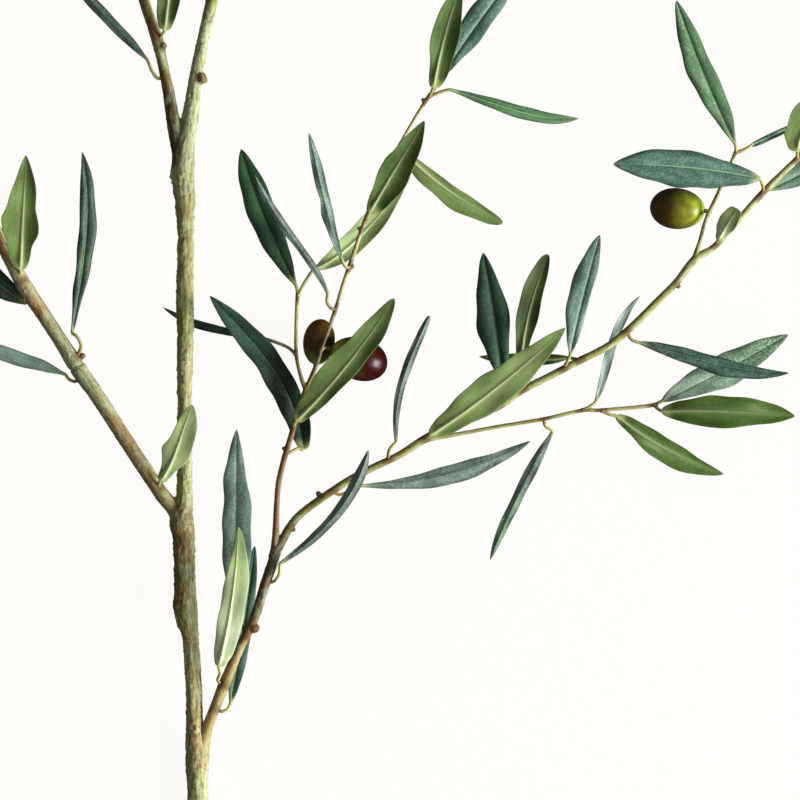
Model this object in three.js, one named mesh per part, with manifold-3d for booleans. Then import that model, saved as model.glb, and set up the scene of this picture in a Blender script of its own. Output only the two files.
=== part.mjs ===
// A cut olive branch with fruit, lying on a flat surface. Millimetres, +Z up.
//
// The branch lies in plan as it is seen from above: +Y runs up the main stem from its cut end, and
// +X runs to the side that carries the fruit. Every stem is a list of stations [x, y, z, radius], and
// every leaf is a midrib of three or four points [x, y, z] from its base to its tip, with a width or
// with what its two margins reach.
// These are given in branch coordinates, and the whole branch is then moved so that the origin is
// under the middle of it, on the surface that it lies on.

import * as THREE from 'three';
import { mergeVertices } from 'three/addons/utils/BufferGeometryUtils.js';
import Module from 'manifold-3d';

const wasm = await Module();
wasm.setup();

// ---- driving dimensions ----

const ORIGIN_IN_BRANCH = [-2.9, 49.2, 0]; // the point of the branch coordinates that becomes 0, 0, 0
const NODE_GAP = 0.3;                     // clear space between two nodes that meet

const BLADE_EDGE_THICKNESS = 0.6;
const BLADE_RIB_THICKNESS = 0.9;
const MARGIN_SHARES = [0.2, 0.4, 0.6, 0.8]; // of a blade's length, where its margins are given
const BLADE_SHARES = [0, 0.07, ...MARGIN_SHARES, 1]; // where a blade has its sections
const UPPER_FOLD = 5;                     // degrees that each half rises from the midrib, upper face up
const UNDER_FOLD = -17;                   // the same under face up, towards the side of the upper face
const BASE_POWER = 0.6;                   // how fast a blade widens from its base: less is sooner
const SLENDER = 0.85;                     // the same of a leaf that is widest nearer its middle
const BROAD = 0.33;                       // and of one that is widest nearer its base
const TIP_POWER = 0.75;                   // how fast it narrows to its tip
const BASE_HALF_WIDTH = 0.9;
const TIP_HALF_WIDTH = 0.3;

const PETIOLE_RADIUS = 0.75;
const PETIOLE_KNEE = 0.55;                // where along the petiole it bends, as a share
const PETIOLE_BEND = 0.6;                 // how far the bend lies back from the blade
const STALK_RADIUS = 0.7;
const STALK_RUN_IN = 3;                   // how far a stalk runs along its olive's axis before it
const STALK_SIDES = 5;

const MAIN_SIDES = 10;
const BRANCH_SIDES = 8;
const TWIG_SIDES = 6;

const OLIVE_SIDES = 12;
const OLIVE_STEPS = 8;
const OLIVE_TAPER = 0.05;                 // how much fuller the stalk end is than the far end

// ---- the stems: stations [x, y, z, radius] ----

const MAIN_STEM = [
  [-85, -205, 4.3, 4.3], [-85.3, -167, 5.4, 4.3], [-85.6, -149, 6, 5], [-86.5, -136, 6.5, 3.6],
  [-87.2, -115, 7.4, 3.4], [-88.4, -100, 8.1, 3.5], [-90.4, -88, 8.8, 5.1], [-90.6, -78, 9.3, 4.5],
  [-91, -59, 10.3, 4.6], [-92, -50, 10.8, 5.1], [-90.8, -40, 11.5, 3.5], [-90.6, -15, 13, 3.1],
  [-90.6, 5, 14.2, 3.1], [-90.4, 26, 15.2, 3.5], [-90.4, 50, 15.6, 3.6], [-90.2, 70, 15.4, 3.4],
  [-90.4, 82, 15.2, 4.1], [-91.3, 95, 14.8, 4.8], [-91, 105, 14.5, 4.6], [-89.2, 113, 14.2, 3.8],
  [-87.2, 127, 13.6, 3.1], [-84.8, 142, 13.1, 2.8], [-81.2, 160, 12.4, 2.4],
];

const LEADER = [
  [-81.2, 160, 12.4, 2.4], [-79, 169, 12, 2.6], [-76, 185, 11.2, 2.2], [-72.5, 205, 10.2, 1.9],
  [-69.5, 225, 9, 1.6], [-67.5, 245, 7.6, 1.3], [-66.5, 262, 6.4, 1.1],
];

const TOP_SHOOT = [
  [-92, 100, 14.6, 2.6], [-94.7, 113, 14.2, 2.9], [-97.5, 130, 13.6, 2.45], [-99.8, 141, 13.2, 2.2],
  [-102, 151, 12.8, 2.5], [-105, 160, 12.3, 2.35], [-107.7, 168, 11.8, 2.3], [-112, 185, 11, 2],
  [-117, 203, 10, 1.7], [-121, 220, 8.8, 1.3], [-123.5, 234, 7.8, 1.1],
];

const LEFT_BRANCH = [
  [-91.5, -51, 10.8, 3.2], [-95.8, -45, 11, 3.2], [-101.5, -38, 11.2, 3.1], [-115, -17.5, 11.5, 3.1],
  [-127.3, 1.5, 11.5, 3.2], [-135.6, 13.3, 11.3, 3.6], [-142.2, 23.8, 11, 3.1], [-150.8, 37, 10.6, 3.1],
  [-158.5, 48.6, 10.2, 3.3], [-163.5, 58, 10, 3], [-168.3, 67, 9.7, 2.8], [-176, 83, 9, 2.4],
  [-184.5, 100, 8.2, 2], [-193, 116, 7.2, 1.6], [-200, 129, 6.4, 1.2],
];

const RIGHT_BRANCH = [
  [-84.1, -150, 6.2, 3], [-82.1, -141, 7.2, 2.7], [-79.7, -134, 8.4, 2.2], [-74.3, -120.5, 10.8, 2.4],
  [-67.8, -105, 13.6, 2], [-61.4, -92, 16, 2], [-56.5, -76.7, 18, 2.1], [-53.3, -68, 19, 2.3],
  [-51.7, -61.5, 19.6, 2.2],
];

const FRUIT_TWIG = [
  [-53.2, -66, 19.2, 1.6], [-52.3, -57.5, 20.2, 1.5], [-51.8, -44.5, 21.4, 1.2], [-51, -35, 22, 1.2],
  [-48.6, -24.5, 22.5, 1.2], [-46, -16, 22.9, 1.2], [-42.8, -5, 23.5, 1.1], [-39.5, 4.5, 24, 1.2],
];

const FRUIT_TWIG_LEFT = [
  [-39.5, 4.5, 24, 1], [-41.2, 8.5, 24.2, 0.85], [-43.4, 18, 24.7, 0.8], [-43.6, 28, 25.2, 0.8],
  [-43.3, 38, 25.8, 0.8], [-42.9, 45, 26.2, 0.9],
];

const FRUIT_TWIG_RIGHT = [
  [-39.5, 4.5, 24, 1], [-35, 15, 24.9, 0.95], [-33, 22, 25.4, 0.9], [-28, 35, 26.8, 0.9],
  [-24, 48, 28, 0.85], [-21.3, 55.5, 28.6, 1], [-16.6, 70, 29, 0.85], [-14, 77, 28.8, 0.9],
  [-10.2, 87, 28, 0.8], [-5, 98, 27.2, 0.8], [5, 116, 26.2, 0.75], [12.8, 128.5, 26, 0.9],
];

const LONG_TWIG = [
  [-53.2, -66, 19.3, 1.7], [-49.2, -58.5, 20, 1.8], [-46.5, -53.6, 20.2, 1.7], [-41.6, -47.8, 20.5, 1.6],
  [-31.6, -40.4, 20.8, 1.6], [-21.5, -33.8, 21, 1.6], [-12, -28.7, 21.2, 1.5], [0, -22.9, 21.4, 1.5],
  [12.2, -15.3, 21.6, 1.7], [26, -9, 21.8, 1.5], [41.2, -2.8, 22, 1.5], [51.5, 4.2, 22, 1.5],
  [61.7, 9.4, 22, 1.5], [73.9, 15.8, 21.9, 1.5], [86.8, 22.3, 21.7, 1.5], [96.4, 29.9, 21.4, 1.5],
  [107.9, 41.2, 20.9, 1.5], [116, 49.3, 20.5, 1.5], [123.9, 59.2, 20, 1.6], [132.6, 64.9, 19.6, 1.3],
  [144.4, 78.1, 18.8, 1.3], [152.6, 87.2, 18.1, 1.4], [160.4, 95, 17.4, 1.3], [167, 101.3, 16.6, 1.3],
  [177, 112, 15.2, 1.1], [187, 123, 13.6, 1], [196, 133, 12, 0.9],
];

const LOWER_TWIG = [
  [11, -16.5, 21.5, 1.1], [25.7, -14.1, 20.6, 0.85], [41.2, -11.2, 19.8, 0.8], [60.4, -8, 18.9, 0.8],
  [76.5, -4.4, 18, 0.8], [84, -4.3, 17.7, 0.8], [100.8, -2.9, 17, 0.8], [108.5, -1.8, 16.6, 0.9],
];

const UPPER_TWIG = [
  [122.8, 57.5, 20, 1.1], [125.8, 66, 20.8, 0.85], [128.6, 76, 21.6, 0.8], [134.4, 88.6, 22.6, 0.8],
  [139.4, 100.5, 23.2, 0.75], [141.6, 105.3, 23.4, 0.9],
];

// Blunt stubs where a side shoot was lost: where each one starts and ends, and its two radii.
const MAIN_STUBS = [
  [[-91, 94, 14.8, 3], [-96.4, 95.5, 14.6, 2.2]],
  [[-86, 134.5, 13.4, 2.4], [-81.6, 135.6, 14, 1.9]],
];
const RIGHT_STUBS = [[[-63.5, -96.5, 15.2, 2], [-60, -95.8, 15.6, 1.8]]];

// ---- the leaves ----
//
// face is the one turned up, foot is where the petiole leaves the stem, and bends are the points that
// it passes. left and right are how far the margins stand from the midrib at MARGIN_SHARES, looking
// down on the leaf with its tip pointing away; width stands for both where they are alike.

const LEFT_BRANCH_LEAVES = [
  { face: 'under', left: [3.3, 5.6, 4.1, 3.3], right: [3.2, 6, 6.4, 5.1],
    base: BROAD, tip: 0.6, foot: [-101.5, -37, 12],
    midrib: [[-100.8, -34, 16], [-95.5, -25, 21], [-91.5, -14, 25.5], [-87.2, -2, 28]] },
  { face: 'upper', left: [2.4, 3.1, 3.2, 2.6], right: [2.4, 3.1, 3.2, 2.6],
    base: SLENDER, roll: 12, foot: [-135, 9.5, 11], bends: [[-136.8, 7.8, 10.5], [-139.5, 8.8, 10]],
    midrib: [[-141, 10.8, 10.5], [-165, 18.8, 8], [-191, 25.5, 5.5]] },
  { face: 'upper', left: [2.4, 3.2, 3.4, 3], right: [1.7, 3.6, 4.2, 3.2],
    base: SLENDER, roll: 20, foot: [-136.4, 17.6, 12], bends: [[-134.2, 22.5, 14], [-135.8, 26.6, 15]],
    midrib: [[-138, 28.2, 14], [-134, 52, 16], [-131.6, 78, 18], [-133.6, 104.3, 19]] },
  { face: 'upper', width: 13.5, base: 0.7, foot: [-155.5, 43, 10.4],
    midrib: [[-158.4, 40.8, 8], [-182, 58, 5], [-205, 75, 1.5]] },
  { face: 'under', left: [5.8, 8, 6.6, 3.8], right: [4.5, 6.6, 5.8, 4.3],
    base: BROAD, foot: [-159, 50, 11],
    midrib: [[-159.8, 55, 14], [-158.2, 78, 26], [-156.6, 102.5, 36]] },
];

const TOP_SHOOT_LEAVES = [
  { face: 'upper', left: [2, 2.7, 2.8, 2.2], right: [2.2, 2.6, 2.6, 2],
    base: SLENDER, fold: -23, foot: [-100.3, 135.5, 13.6], bends: [[-102.3, 135.6, 14], [-104.6, 139, 14]],
    midrib: [[-106.3, 143.2, 13], [-123.4, 161, 12], [-144, 183.5, 9]] },
  { face: 'under', left: [4.6, 5.8, 6, 4.6], right: [4.6, 5.8, 5.8, 4.4],
    base: BROAD, foot: [-101.6, 152, 13.5],
    midrib: [[-99, 155.5, 17], [-95.3, 182, 23], [-90.5, 209, 27]] },
];

const RIGHT_BRANCH_LEAVES = [
  { face: 'upper', left: [5, 5.9, 5.4, 4.2], right: [5.6, 6.4, 6, 3.3], foot: [-65, -99, 14.8],
    midrib: [[-69.3, -86, 11], [-69, -50, 9], [-68.9, -12.4, 6]] },
  { face: 'under', left: [4.2, 4.6, 4.1, 2.5], right: [5.4, 5.8, 6.1, 4.6],
    base: 0.4, foot: [-74.6, -119.6, 11.5], bends: [[-76.7, -118, 13], [-75.7, -115, 14.5]],
    midrib: [[-76.3, -112, 16], [-70.6, -84, 22], [-67.8, -53, 25]] },
  { face: 'upper', width: 7.4,
    tip: 0.6, foot: [-77, -130, 9], bends: [[-75.3, -131.2, 9.5], [-72.6, -130.2, 9]],
    midrib: [[-71.3, -127.3, 8], [-66.3, -98, 5], [-61.3, -61.5, 3]] },
  { face: 'upper', left: [1.5, 2, 2.3, 2.5], right: [1.5, 2, 2.3, 2.5],
    tip: 0.6, fold: -30, foot: [-56.2, -76.5, 18], bends: [[-52.9, -76.2, 19.5], [-50.7, -73, 21]],
    midrib: [[-50.3, -68.6, 22], [-34.5, -56.2, 25.5], [-21.6, -40.6, 30], [-13.2, -21, 33]] },
];

const FRUIT_TWIG_LEAVES = [
  { face: 'upper', left: [1.3, 1.6, 1.8, 1.5], right: [1.3, 1.6, 1.8, 1.5],
    base: SLENDER, foot: [-43.6, 19, 24.8], bends: [[-47.3, 22.2, 23]],
    midrib: [[-54, 24.9, 20.5], [-69, 28.2, 13], [-84.5, 31.6, 6.8], [-100, 39.2, 6]] },
  { face: 'upper', left: [5.2, 6, 5.1, 4.5], right: [5.1, 5.4, 5.8, 4.4],
    base: 0.4, foot: [-48.3, -22.6, 22.3], bends: [[-45.8, -21.8, 21], [-42.8, -20.4, 19]],
    midrib: [[-40.3, -21, 18.3], [-47.3, 2.5, 19.3], [-61, 23, 22], [-80, 43.8, 25]] },
  { face: 'upper', width: 12.2, base: SLENDER, foot: [-43, 43.4, 26.1],
    midrib: [[-43.6, 48, 26], [-57, 76.5, 23], [-66.8, 105.5, 17]] },
  { face: 'upper', left: [1.4, 1.4, 1.9, 1.6], right: [1.4, 1.4, 1.9, 1.6],
    base: SLENDER, fold: -27, foot: [-26.8, 38.3, 27.1], bends: [[-28.6, 38.3, 28], [-30.6, 41, 29]],
    midrib: [[-30.3, 44.6, 29], [-39.1, 59.9, 30.5], [-50.2, 75, 32], [-60.8, 94.3, 32]] },
  { face: 'upper', left: [1.8, 2.3, 2.2, 2], right: [1.6, 2.4, 2.5, 2.1],
    base: SLENDER, fold: -16, foot: [-20.8, 55.9, 28.8], bends: [[-22.6, 55.7, 30]],
    midrib: [[-24, 58, 31], [-29.6, 75.5, 34], [-33.8, 93, 35], [-38.2, 112, 35]] },
  { face: 'under', width: 10, base: SLENDER, foot: [-43, 43.4, 26.1], bends: [[-40.2, 49, 26]],
    midrib: [[-36.3, 54.8, 25], [-17.9, 67.7, 22], [3, 93, 23]] },
  { face: 'under', left: [3.9, 5.5, 4.9, 3.2], right: [5.9, 7.3, 6.5, 4.4],
    base: 0.4, foot: [-14.3, 76, 28.9], midrib: [[-12.8, 78.5, 32], [-1.8, 97, 35], [10.2, 116.9, 37]] },
  { face: 'under', left: [5.7, 8, 6.5, 4.3], right: [3.7, 4.8, 5.4, 5.1],
    base: BROAD, tip: 0.6, foot: [-44.6, -11, 23.2],
    midrib: [[-43.6, -8.8, 26], [-22.6, 14.2, 34], [-2.4, 42.6, 39]] },
  { face: 'under', left: [2.6, 2.9, 3.1, 2.6], right: [4, 4.9, 5.7, 4.3],
    tip: 0.5, foot: [-2, 103.5, 26.9], midrib: [[1.5, 104, 25], [20.3, 88, 22], [43.3, 74.5, 17]] },
  { face: 'upper', left: [1.6, 2.5, 2.7, 2.2], right: [1.6, 2.4, 2.7, 2.3],
    base: SLENDER, foot: [12, 127.2, 26],
    midrib: [[21, 130.2, 27], [39, 124.4, 26.5], [57, 119.3, 24], [75, 118.4, 17]] },
  { face: 'under', left: [3.2, 5, 5.6, 3.8], right: [5.2, 6.2, 5.7, 4],
    base: BROAD, foot: [12, 127.2, 26], midrib: [[14, 131, 29], [18.6, 152, 34], [25.5, 175, 38]] },
  { face: 'upper', left: [4, 6, 6.2, 4.6], right: [2.6, 4.7, 4.9, 4], base: 0.9, foot: [12, 127.2, 26],
    midrib: [[17, 134.5, 25], [31.5, 156.5, 23], [50, 181, 18]] },
];

const LONG_TWIG_LEAVES = [
  { face: 'upper', left: [1.3, 1.7, 1.9, 1.8], right: [1.3, 1.7, 1.9, 1.8],
    tip: 0.35, fold: -27, foot: [-4.9, -24.6, 21.6], bends: [[-4.7, -21.6, 23.5], [-3.4, -19.4, 24.3]],
    midrib: [[-1.6, -17.6, 24], [-0.6, 1, 25], [4.5, 17.6, 25.5], [12.4, 35.5, 25]] },
  { face: 'upper', left: [1.8, 3.4, 4.1, 2.6], right: [1.9, 3.6, 4.2, 2.7],
    base: SLENDER, fold: -13, foot: [-28, -38.3, 20.6], bends: [[-25, -39.8, 20], [-20.5, -37.8, 20]],
    midrib: [[-17, -36, 20.5], [7, -34.3, 18], [31, -28.4, 14.5], [55, -17.2, 10.5]] },
  { face: 'under', left: [5.6, 7.9, 6.6, 4.6], right: [5, 7.2, 7.3, 5],
    base: 0.45, foot: [10.5, -16, 21.8], midrib: [[12.5, -14.8, 27], [40, 4.8, 32], [69.3, 30.3, 35]] },
  { face: 'upper', left: [5.6, 7.8, 6.3, 4.1], right: [4.2, 6.2, 5.9, 3.3], foot: [41, -2.8, 22],
    midrib: [[43.3, 9, 21], [39.2, 37, 20], [35, 62, 17]] },
  { face: 'under', left: [2.9, 4.5, 5.2, 4.3], right: [2.8, 4.2, 4, 3.2],
    tip: 0.5, foot: [51.5, 4.2, 22], midrib: [[50.5, 14, 22], [54.2, 37, 21.5], [62.2, 61.3, 20]] },
  { face: 'upper', left: [3.6, 5.8, 6.3, 4.6], right: [2.3, 2.6, 3, 2.9],
    base: SLENDER, foot: [68.5, 13.2, 21.9], midrib: [[71.5, 19, 25], [76.6, 42, 25], [84, 69.4, 22]] },
  { face: 'under', width: 5.4, foot: [75.6, 16.6, 21.8],
    midrib: [[70.6, 17.8, 16.5], [52, 17, 12], [33.3, 18.3, 9]] },
  { face: 'upper', left: [2.8, 3.2, 2.9, 1.7], right: [2.3, 3.5, 4.5, 3.2],
    foot: [95.6, 28.2, 21.2], bends: [[97.4, 25.3, 21.2]],
    midrib: [[101, 24, 21], [121, 18.3, 20.5], [142, 13.3, 19], [163.6, 11.4, 16.5]] },
  { face: 'under', left: [3.2, 4.2, 3.8, 3], right: [2.4, 3.2, 3.4, 2.6],
    base: 0.4, tip: 0.35, foot: [132.6, 65.5, 19.6],
    midrib: [[133.7, 67.4, 22], [136.8, 73, 33], [141, 80, 42]] },
  { face: 'upper', left: [5.7, 8.1, 8.4, 5.7], right: [4, 6.3, 7.1, 5.7],
    foot: [152.8, 87.6, 18.3], bends: [[152.3, 90.5, 21]],
    midrib: [[151, 93, 24], [121, 97.5, 29], [89.3, 98.8, 32]] },
  { face: 'upper', left: [5, 6.5, 6.5, 4.5], right: [4, 5.5, 6, 4.5],
    base: 0.75, foot: [151, 85.4, 18.2], midrib: [[155, 88.4, 13.5], [180, 101, 10], [205, 115, 5]] },
  { face: 'under', left: [6.2, 7.8, 7, 4.6], right: [5, 7, 7, 5], base: 0.3, foot: [167, 101.3, 16.6],
    midrib: [[167, 104.5, 20.5], [173, 119.5, 31], [189, 133, 38]] },
];

const LOWER_TWIG_LEAVES = [
  { face: 'upper', left: [2.1, 2.4, 2.2, 1.6], right: [2, 2.3, 2.1, 2.2],
    base: SLENDER, fold: -23, foot: [60.6, -8.3, 18.8], bends: [[61.2, -11, 18]],
    midrib: [[64.2, -13.2, 17], [49.6, -40.8, 10], [38, -67.6, 3.5]] },
  { face: 'upper', left: [1.6, 1.9, 1.9, 1.6], right: [1.6, 1.9, 1.9, 1.6],
    fold: -2, foot: [76.5, -4.4, 18],
    midrib: [[82.3, -0.8, 17.5], [86.9, 14.3, 13.5], [91.6, 29.5, 13], [101.1, 43.9, 14]] },
  { face: 'under', left: [4.2, 4.5, 4.1, 2.3], right: [2.7, 5.3, 6, 4.5],
    base: 0.45, fold: -9, foot: [84.6, -4.4, 17.7], bends: [[88, -6, 17.4]],
    midrib: [[91, -6.8, 17], [111.3, -20.3, 14], [136.4, -31.2, 8]] },
  { face: 'upper', left: [4.6, 6.1, 6.4, 4.7], right: [3.2, 6, 7.4, 4.7], foot: [107, -2, 16.7],
    midrib: [[110.5, -0.3, 14.5], [134, 11.3, 8.5], [163.7, 27.6, 6]] },
  { face: 'under', left: [4.9, 6.5, 6.1, 4.8], right: [5.2, 7.4, 6.1, 4.3],
    base: 0.5, fold: -7, foot: [107, -2, 16.7],
    midrib: [[110, -4.6, 19], [138, -4.8, 23], [165.9, -6.8, 22]] },
];

const UPPER_TWIG_LEAVES = [
  { face: 'upper', left: [3.4, 5.6, 6.2, 4.1], right: [4.4, 5.1, 4.5, 3.6],
    base: SLENDER, foot: [140.9, 103.9, 23.3],
    midrib: [[140.7, 107.5, 25], [127.3, 136.8, 28], [115.8, 167.6, 29]] },
  { face: 'upper', width: 2.7, foot: [140.9, 103.9, 23.3], bends: [[144.3, 105, 23]],
    midrib: [[147, 106.5, 22.5], [158, 111.7, 17], [180, 122, 10]] },
];

// Leaves placed by rule, in opposite pairs towards a stem's growing end: the stretch of the stem that
// carries them, as shares of its length, how high each side's tips end, and the seed of the draws.
const LEADER_PAIRS = { from: 0.18, to: 0.97, pairs: 4, leftTip: 1.5, rightTip: 14, seed: 11 };
const TOP_SHOOT_PAIRS = { from: 0.62, to: 0.97, pairs: 3, leftTip: 3, rightTip: 24, seed: 23 };
const LEFT_BRANCH_PAIRS = { from: 0.84, to: 0.97, pairs: 3, leftTip: 0.5, rightTip: 15, seed: 37 };
const LONG_TWIG_PAIRS = { from: 0.91, to: 0.985, pairs: 2, leftTip: 20, rightTip: 0.5, seed: 41 };
const PAIR_ANGLE = 38;                    // degrees between a paired leaf and its stem
const PAIR_ANGLE_SHARES = [0.75, 1.15];   // the least and the most of that angle that a leaf can have
const END_PAIR_SHARE = 0.7;               // how much of its angle the last pair keeps
const PAIR_LENGTH = 47;
const PAIR_WIDTH = 12;
const PAIR_SIZE_SHARES = [0.9, 1.15];     // the least and the most of that length and that width
const PAIR_TAPER = 0.14;                  // how much smaller the last pair is than the first
const PAIR_PETIOLE = 6;                   // from the middle of the stem to the start of the blade
const PAIR_ARCH = 3;                      // the most that the middle of a blade rises
const PAIR_SWEEP = 4;                     // the most that a tip sweeps along the stem
const PAIR_ROLL = 30;                     // the most degrees that a blade rolls to either side
const UPPER_SHARE = 0.65;                 // how many of them show their upper face

// ---- the olives: centre, the direction from the stalk end to the far end, length and width ----

const OLIVES = [
  { name: 'olive_1', centre: [-34.2, 24.4, 8.6], axis: [0.14, 0.93, 0.3], length: 20, width: 13.3 },
  { name: 'olive_2', centre: [-17.4, 17.4, 16.6], axis: [0.93, -0.31, -0.18], length: 25, width: 18 },
  { name: 'olive_3', centre: [116.7, 80.5, 15.6], axis: [-0.99, 0.09, -0.08], length: 23.2, width: 17.3 },
];

// Where each olive's stalk leaves its twig.
const OLIVE_1_STALK_FOOT = [-38.2, 7.5, 24.2];
const OLIVE_2_STALK_FOOT = [-33.2, 21, 25.3];
const OLIVE_3_STALK_FOOT = [129.2, 77.5, 21.7];

// ---- curves ----

// A smooth curve through evenly timed stations, in as many numbers as a station has.
function alongStations(stations, t) {
  const last = stations.length - 1;
  const place = THREE.MathUtils.clamp(t, 0, 1) * last;
  const i = Math.min(Math.floor(place), last - 1);
  const f = place - i;
  const before = stations[Math.max(i - 1, 0)];
  const start = stations[i];
  const end = stations[i + 1];
  const after = stations[Math.min(i + 2, last)];
  return start.map((value, k) => {
    const leaving = (end[k] - before[k]) / 2;
    const arriving = (after[k] - value) / 2;
    const step = end[k] - value;
    const cubed = leaving + arriving - 2 * step;
    const squared = 3 * step - 2 * leaving - arriving;
    return value + f * (leaving + f * (squared + f * cubed));
  });
}

// The one quadratic or cubic through three or four points at even times.
function throughPoints(points, t) {
  const last = points.length - 1;
  const sum = new THREE.Vector3();
  points.forEach((point, i) => {
    let weight = 1;
    for (let j = 0; j <= last; j += 1) {
      if (j !== i) weight *= (t * last - j) / (i - j);
    }
    sum.addScaledVector(new THREE.Vector3(...point), weight);
  });
  return sum;
}

// Tangent, side and upward normal of a curve that runs more or less along the surface.
function levelFrame(pointAt, t) {
  const step = 0.01;
  const tangent = pointAt(Math.min(t + step, 1)).sub(pointAt(Math.max(t - step, 0))).normalize();
  const side = tangent.clone().cross(new THREE.Vector3(0, 0, 1)).normalize();
  const normal = side.clone().cross(tangent);
  return { tangent, side, normal };
}

// ---- solids ----

function toManifold(geometry) {
  const bare = geometry.clone();
  bare.deleteAttribute('normal');
  bare.deleteAttribute('uv');
  const merged = mergeVertices(bare, 1e-4);
  const mesh = new wasm.Mesh({
    numProp: 3,
    vertProperties: new Float32Array(merged.attributes.position.array),
    triVerts: new Uint32Array(merged.index.array),
  });
  return new wasm.Manifold(mesh);
}

function toGeometry(manifold) {
  const mesh = manifold.getMesh();
  const geometry = new THREE.BufferGeometry();
  geometry.setAttribute('position', new THREE.BufferAttribute(mesh.vertProperties, 3));
  geometry.setIndex(new THREE.BufferAttribute(mesh.triVerts, 1));
  geometry.computeVertexNormals();
  return geometry;
}

// A closed round stem through its stations: a cylinder bent along them.
function stem(stations, sides, stepsPerSpan = 1, grow = 0) {
  const steps = (stations.length - 1) * stepsPerSpan;
  const geometry = new THREE.CylinderGeometry(1, 1, 1, sides, steps);
  const position = geometry.attributes.position;
  const pointAt = (t) => new THREE.Vector3(...alongStations(stations, t).slice(0, 3));
  for (let i = 0; i < position.count; i += 1) {
    const t = 0.5 - position.getY(i);
    const [x, y, z, radius] = alongStations(stations, t);
    const { side, normal } = levelFrame(pointAt, t);
    const place = new THREE.Vector3(x, y, z);
    place.addScaledVector(side, position.getX(i) * (radius + grow));
    place.addScaledVector(normal, -position.getZ(i) * (radius + grow));
    position.setXYZ(i, place.x, place.y, place.z);
  }
  return toManifold(geometry);
}

// How wide a blade is at t, as a share of its greatest width: a lanceolate outline.
function outlineAt(t, basePower, tipPower) {
  const widest = basePower / (basePower + tipPower);
  const outline = (at) => at ** basePower * (1 - at) ** tipPower;
  return outline(t) / outline(widest);
}

// How far a margin stands from the midrib at t, from what it reaches at MARGIN_SHARES.
function marginReach(reaches, t, basePower, tipPower) {
  const fullness = reaches.map((reach, i) => [reach / outlineAt(MARGIN_SHARES[i], basePower, tipPower)]);
  const stations = [fullness[0], ...fullness, fullness[fullness.length - 1]];
  return alongStations(stations, t)[0] * outlineAt(t, basePower, tipPower);
}

// One leaf: a closed sheet that runs from inside its stem, as a petiole, into the folded blade.
function leaf({
  face, width, left, right, foot, bends, midrib, fold, roll = 0, base = BASE_POWER, tip = TIP_POWER,
}) {
  const under = face === 'under';
  const rollAngle = THREE.MathUtils.degToRad(roll + (under ? 180 : 0));
  const foldAngle = THREE.MathUtils.degToRad(fold ?? (under ? UNDER_FOLD : UPPER_FOLD));
  const pointAt = (t) => throughPoints(midrib, t);
  const reachAt = (reaches, t) => {
    const end = THREE.MathUtils.lerp(BASE_HALF_WIDTH, TIP_HALF_WIDTH, t);
    const reach = reaches ? marginReach(reaches, t, base, tip) : (width / 2) * outlineAt(t, base, tip);
    return Math.max(end, reach);
  };
  const bladeRings = BLADE_SHARES.map((t) => {
    const { tangent, side, normal } = levelFrame(pointAt, t);
    side.applyAxisAngle(tangent, rollAngle);
    normal.applyAxisAngle(tangent, rollAngle);
    return {
      place: pointAt(t),
      tangent,
      side,
      normal,
      halfWidths: under ? [reachAt(right, t), reachAt(left, t)] : [reachAt(left, t), reachAt(right, t)],
      rib: BLADE_RIB_THICKNESS,
      fold: foldAngle,
    };
  });
  const first = bladeRings[0];
  const start = new THREE.Vector3(...foot);
  const knee = start.clone().lerp(first.place, PETIOLE_KNEE).addScaledVector(first.tangent, -PETIOLE_BEND);
  const passed = bends ? bends.map((point) => new THREE.Vector3(...point)) : [knee];
  const petiole = [start, ...passed, first.place];
  const petioleRings = petiole.slice(0, -1).map((place, i) => {
    const arriving = place.clone().sub(petiole[Math.max(i - 1, 0)]).normalize();
    const leaving = petiole[i + 1].clone().sub(place).normalize();
    const turn = new THREE.Quaternion().setFromUnitVectors(first.tangent, leaving.add(arriving).normalize());
    return {
      place,
      side: first.side.clone().applyQuaternion(turn),
      normal: first.normal.clone().applyQuaternion(turn),
      halfWidths: [PETIOLE_RADIUS, PETIOLE_RADIUS],
      rib: 2 * PETIOLE_RADIUS,
      fold: 0,
    };
  });
  const rings = [...petioleRings, ...bladeRings];
  return toManifold(sheet(rings.flatMap(sheetSection), 6, rings.length - 1));
}

// The six points of a leaf's section: left edge, rib and right edge on top, and the same below.
function sheetSection({ place, side, normal, halfWidths, rib, fold }) {
  const [first, last] = halfWidths;
  const section = [-first, 0, last].map((across) => {
    const point = place.clone();
    point.addScaledVector(side, across);
    point.addScaledVector(normal, Math.abs(across) * Math.tan(fold));
    const out = normal.clone().multiplyScalar(Math.cos(fold));
    out.addScaledVector(side, -Math.sign(across) * Math.sin(fold)).normalize();
    const thickness = across === 0 ? rib : BLADE_EDGE_THICKNESS;
    return { point, lift: out.multiplyScalar(thickness / 2) };
  });
  const top = section.map(({ point, lift }) => point.clone().add(lift));
  const bottom = section.map(({ point, lift }) => point.clone().sub(lift)).reverse();
  return [...top, ...bottom].flatMap((point) => point.toArray());
}

// Joins rings of points into a closed body, with the diagonals of the upper and lower faces alike.
function sheet(positions, ringSize, steps) {
  const index = [];
  for (let i = 0; i < steps; i += 1) {
    for (let k = 0; k < ringSize; k += 1) {
      const a = i * ringSize + k;
      const b = i * ringSize + ((k + 1) % ringSize);
      const c = b + ringSize;
      const d = a + ringSize;
      if (k < ringSize / 2) index.push(a, b, c, a, c, d);
      else index.push(a, b, d, b, c, d);
    }
  }
  const endStart = steps * ringSize;
  for (let k = 1; k < ringSize - 1; k += 1) {
    index.push(0, k + 1, k);
    index.push(endStart, endStart + k, endStart + k + 1);
  }
  const geometry = new THREE.BufferGeometry();
  geometry.setAttribute('position', new THREE.Float32BufferAttribute(positions, 3));
  geometry.setIndex(index);
  return geometry;
}

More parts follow.
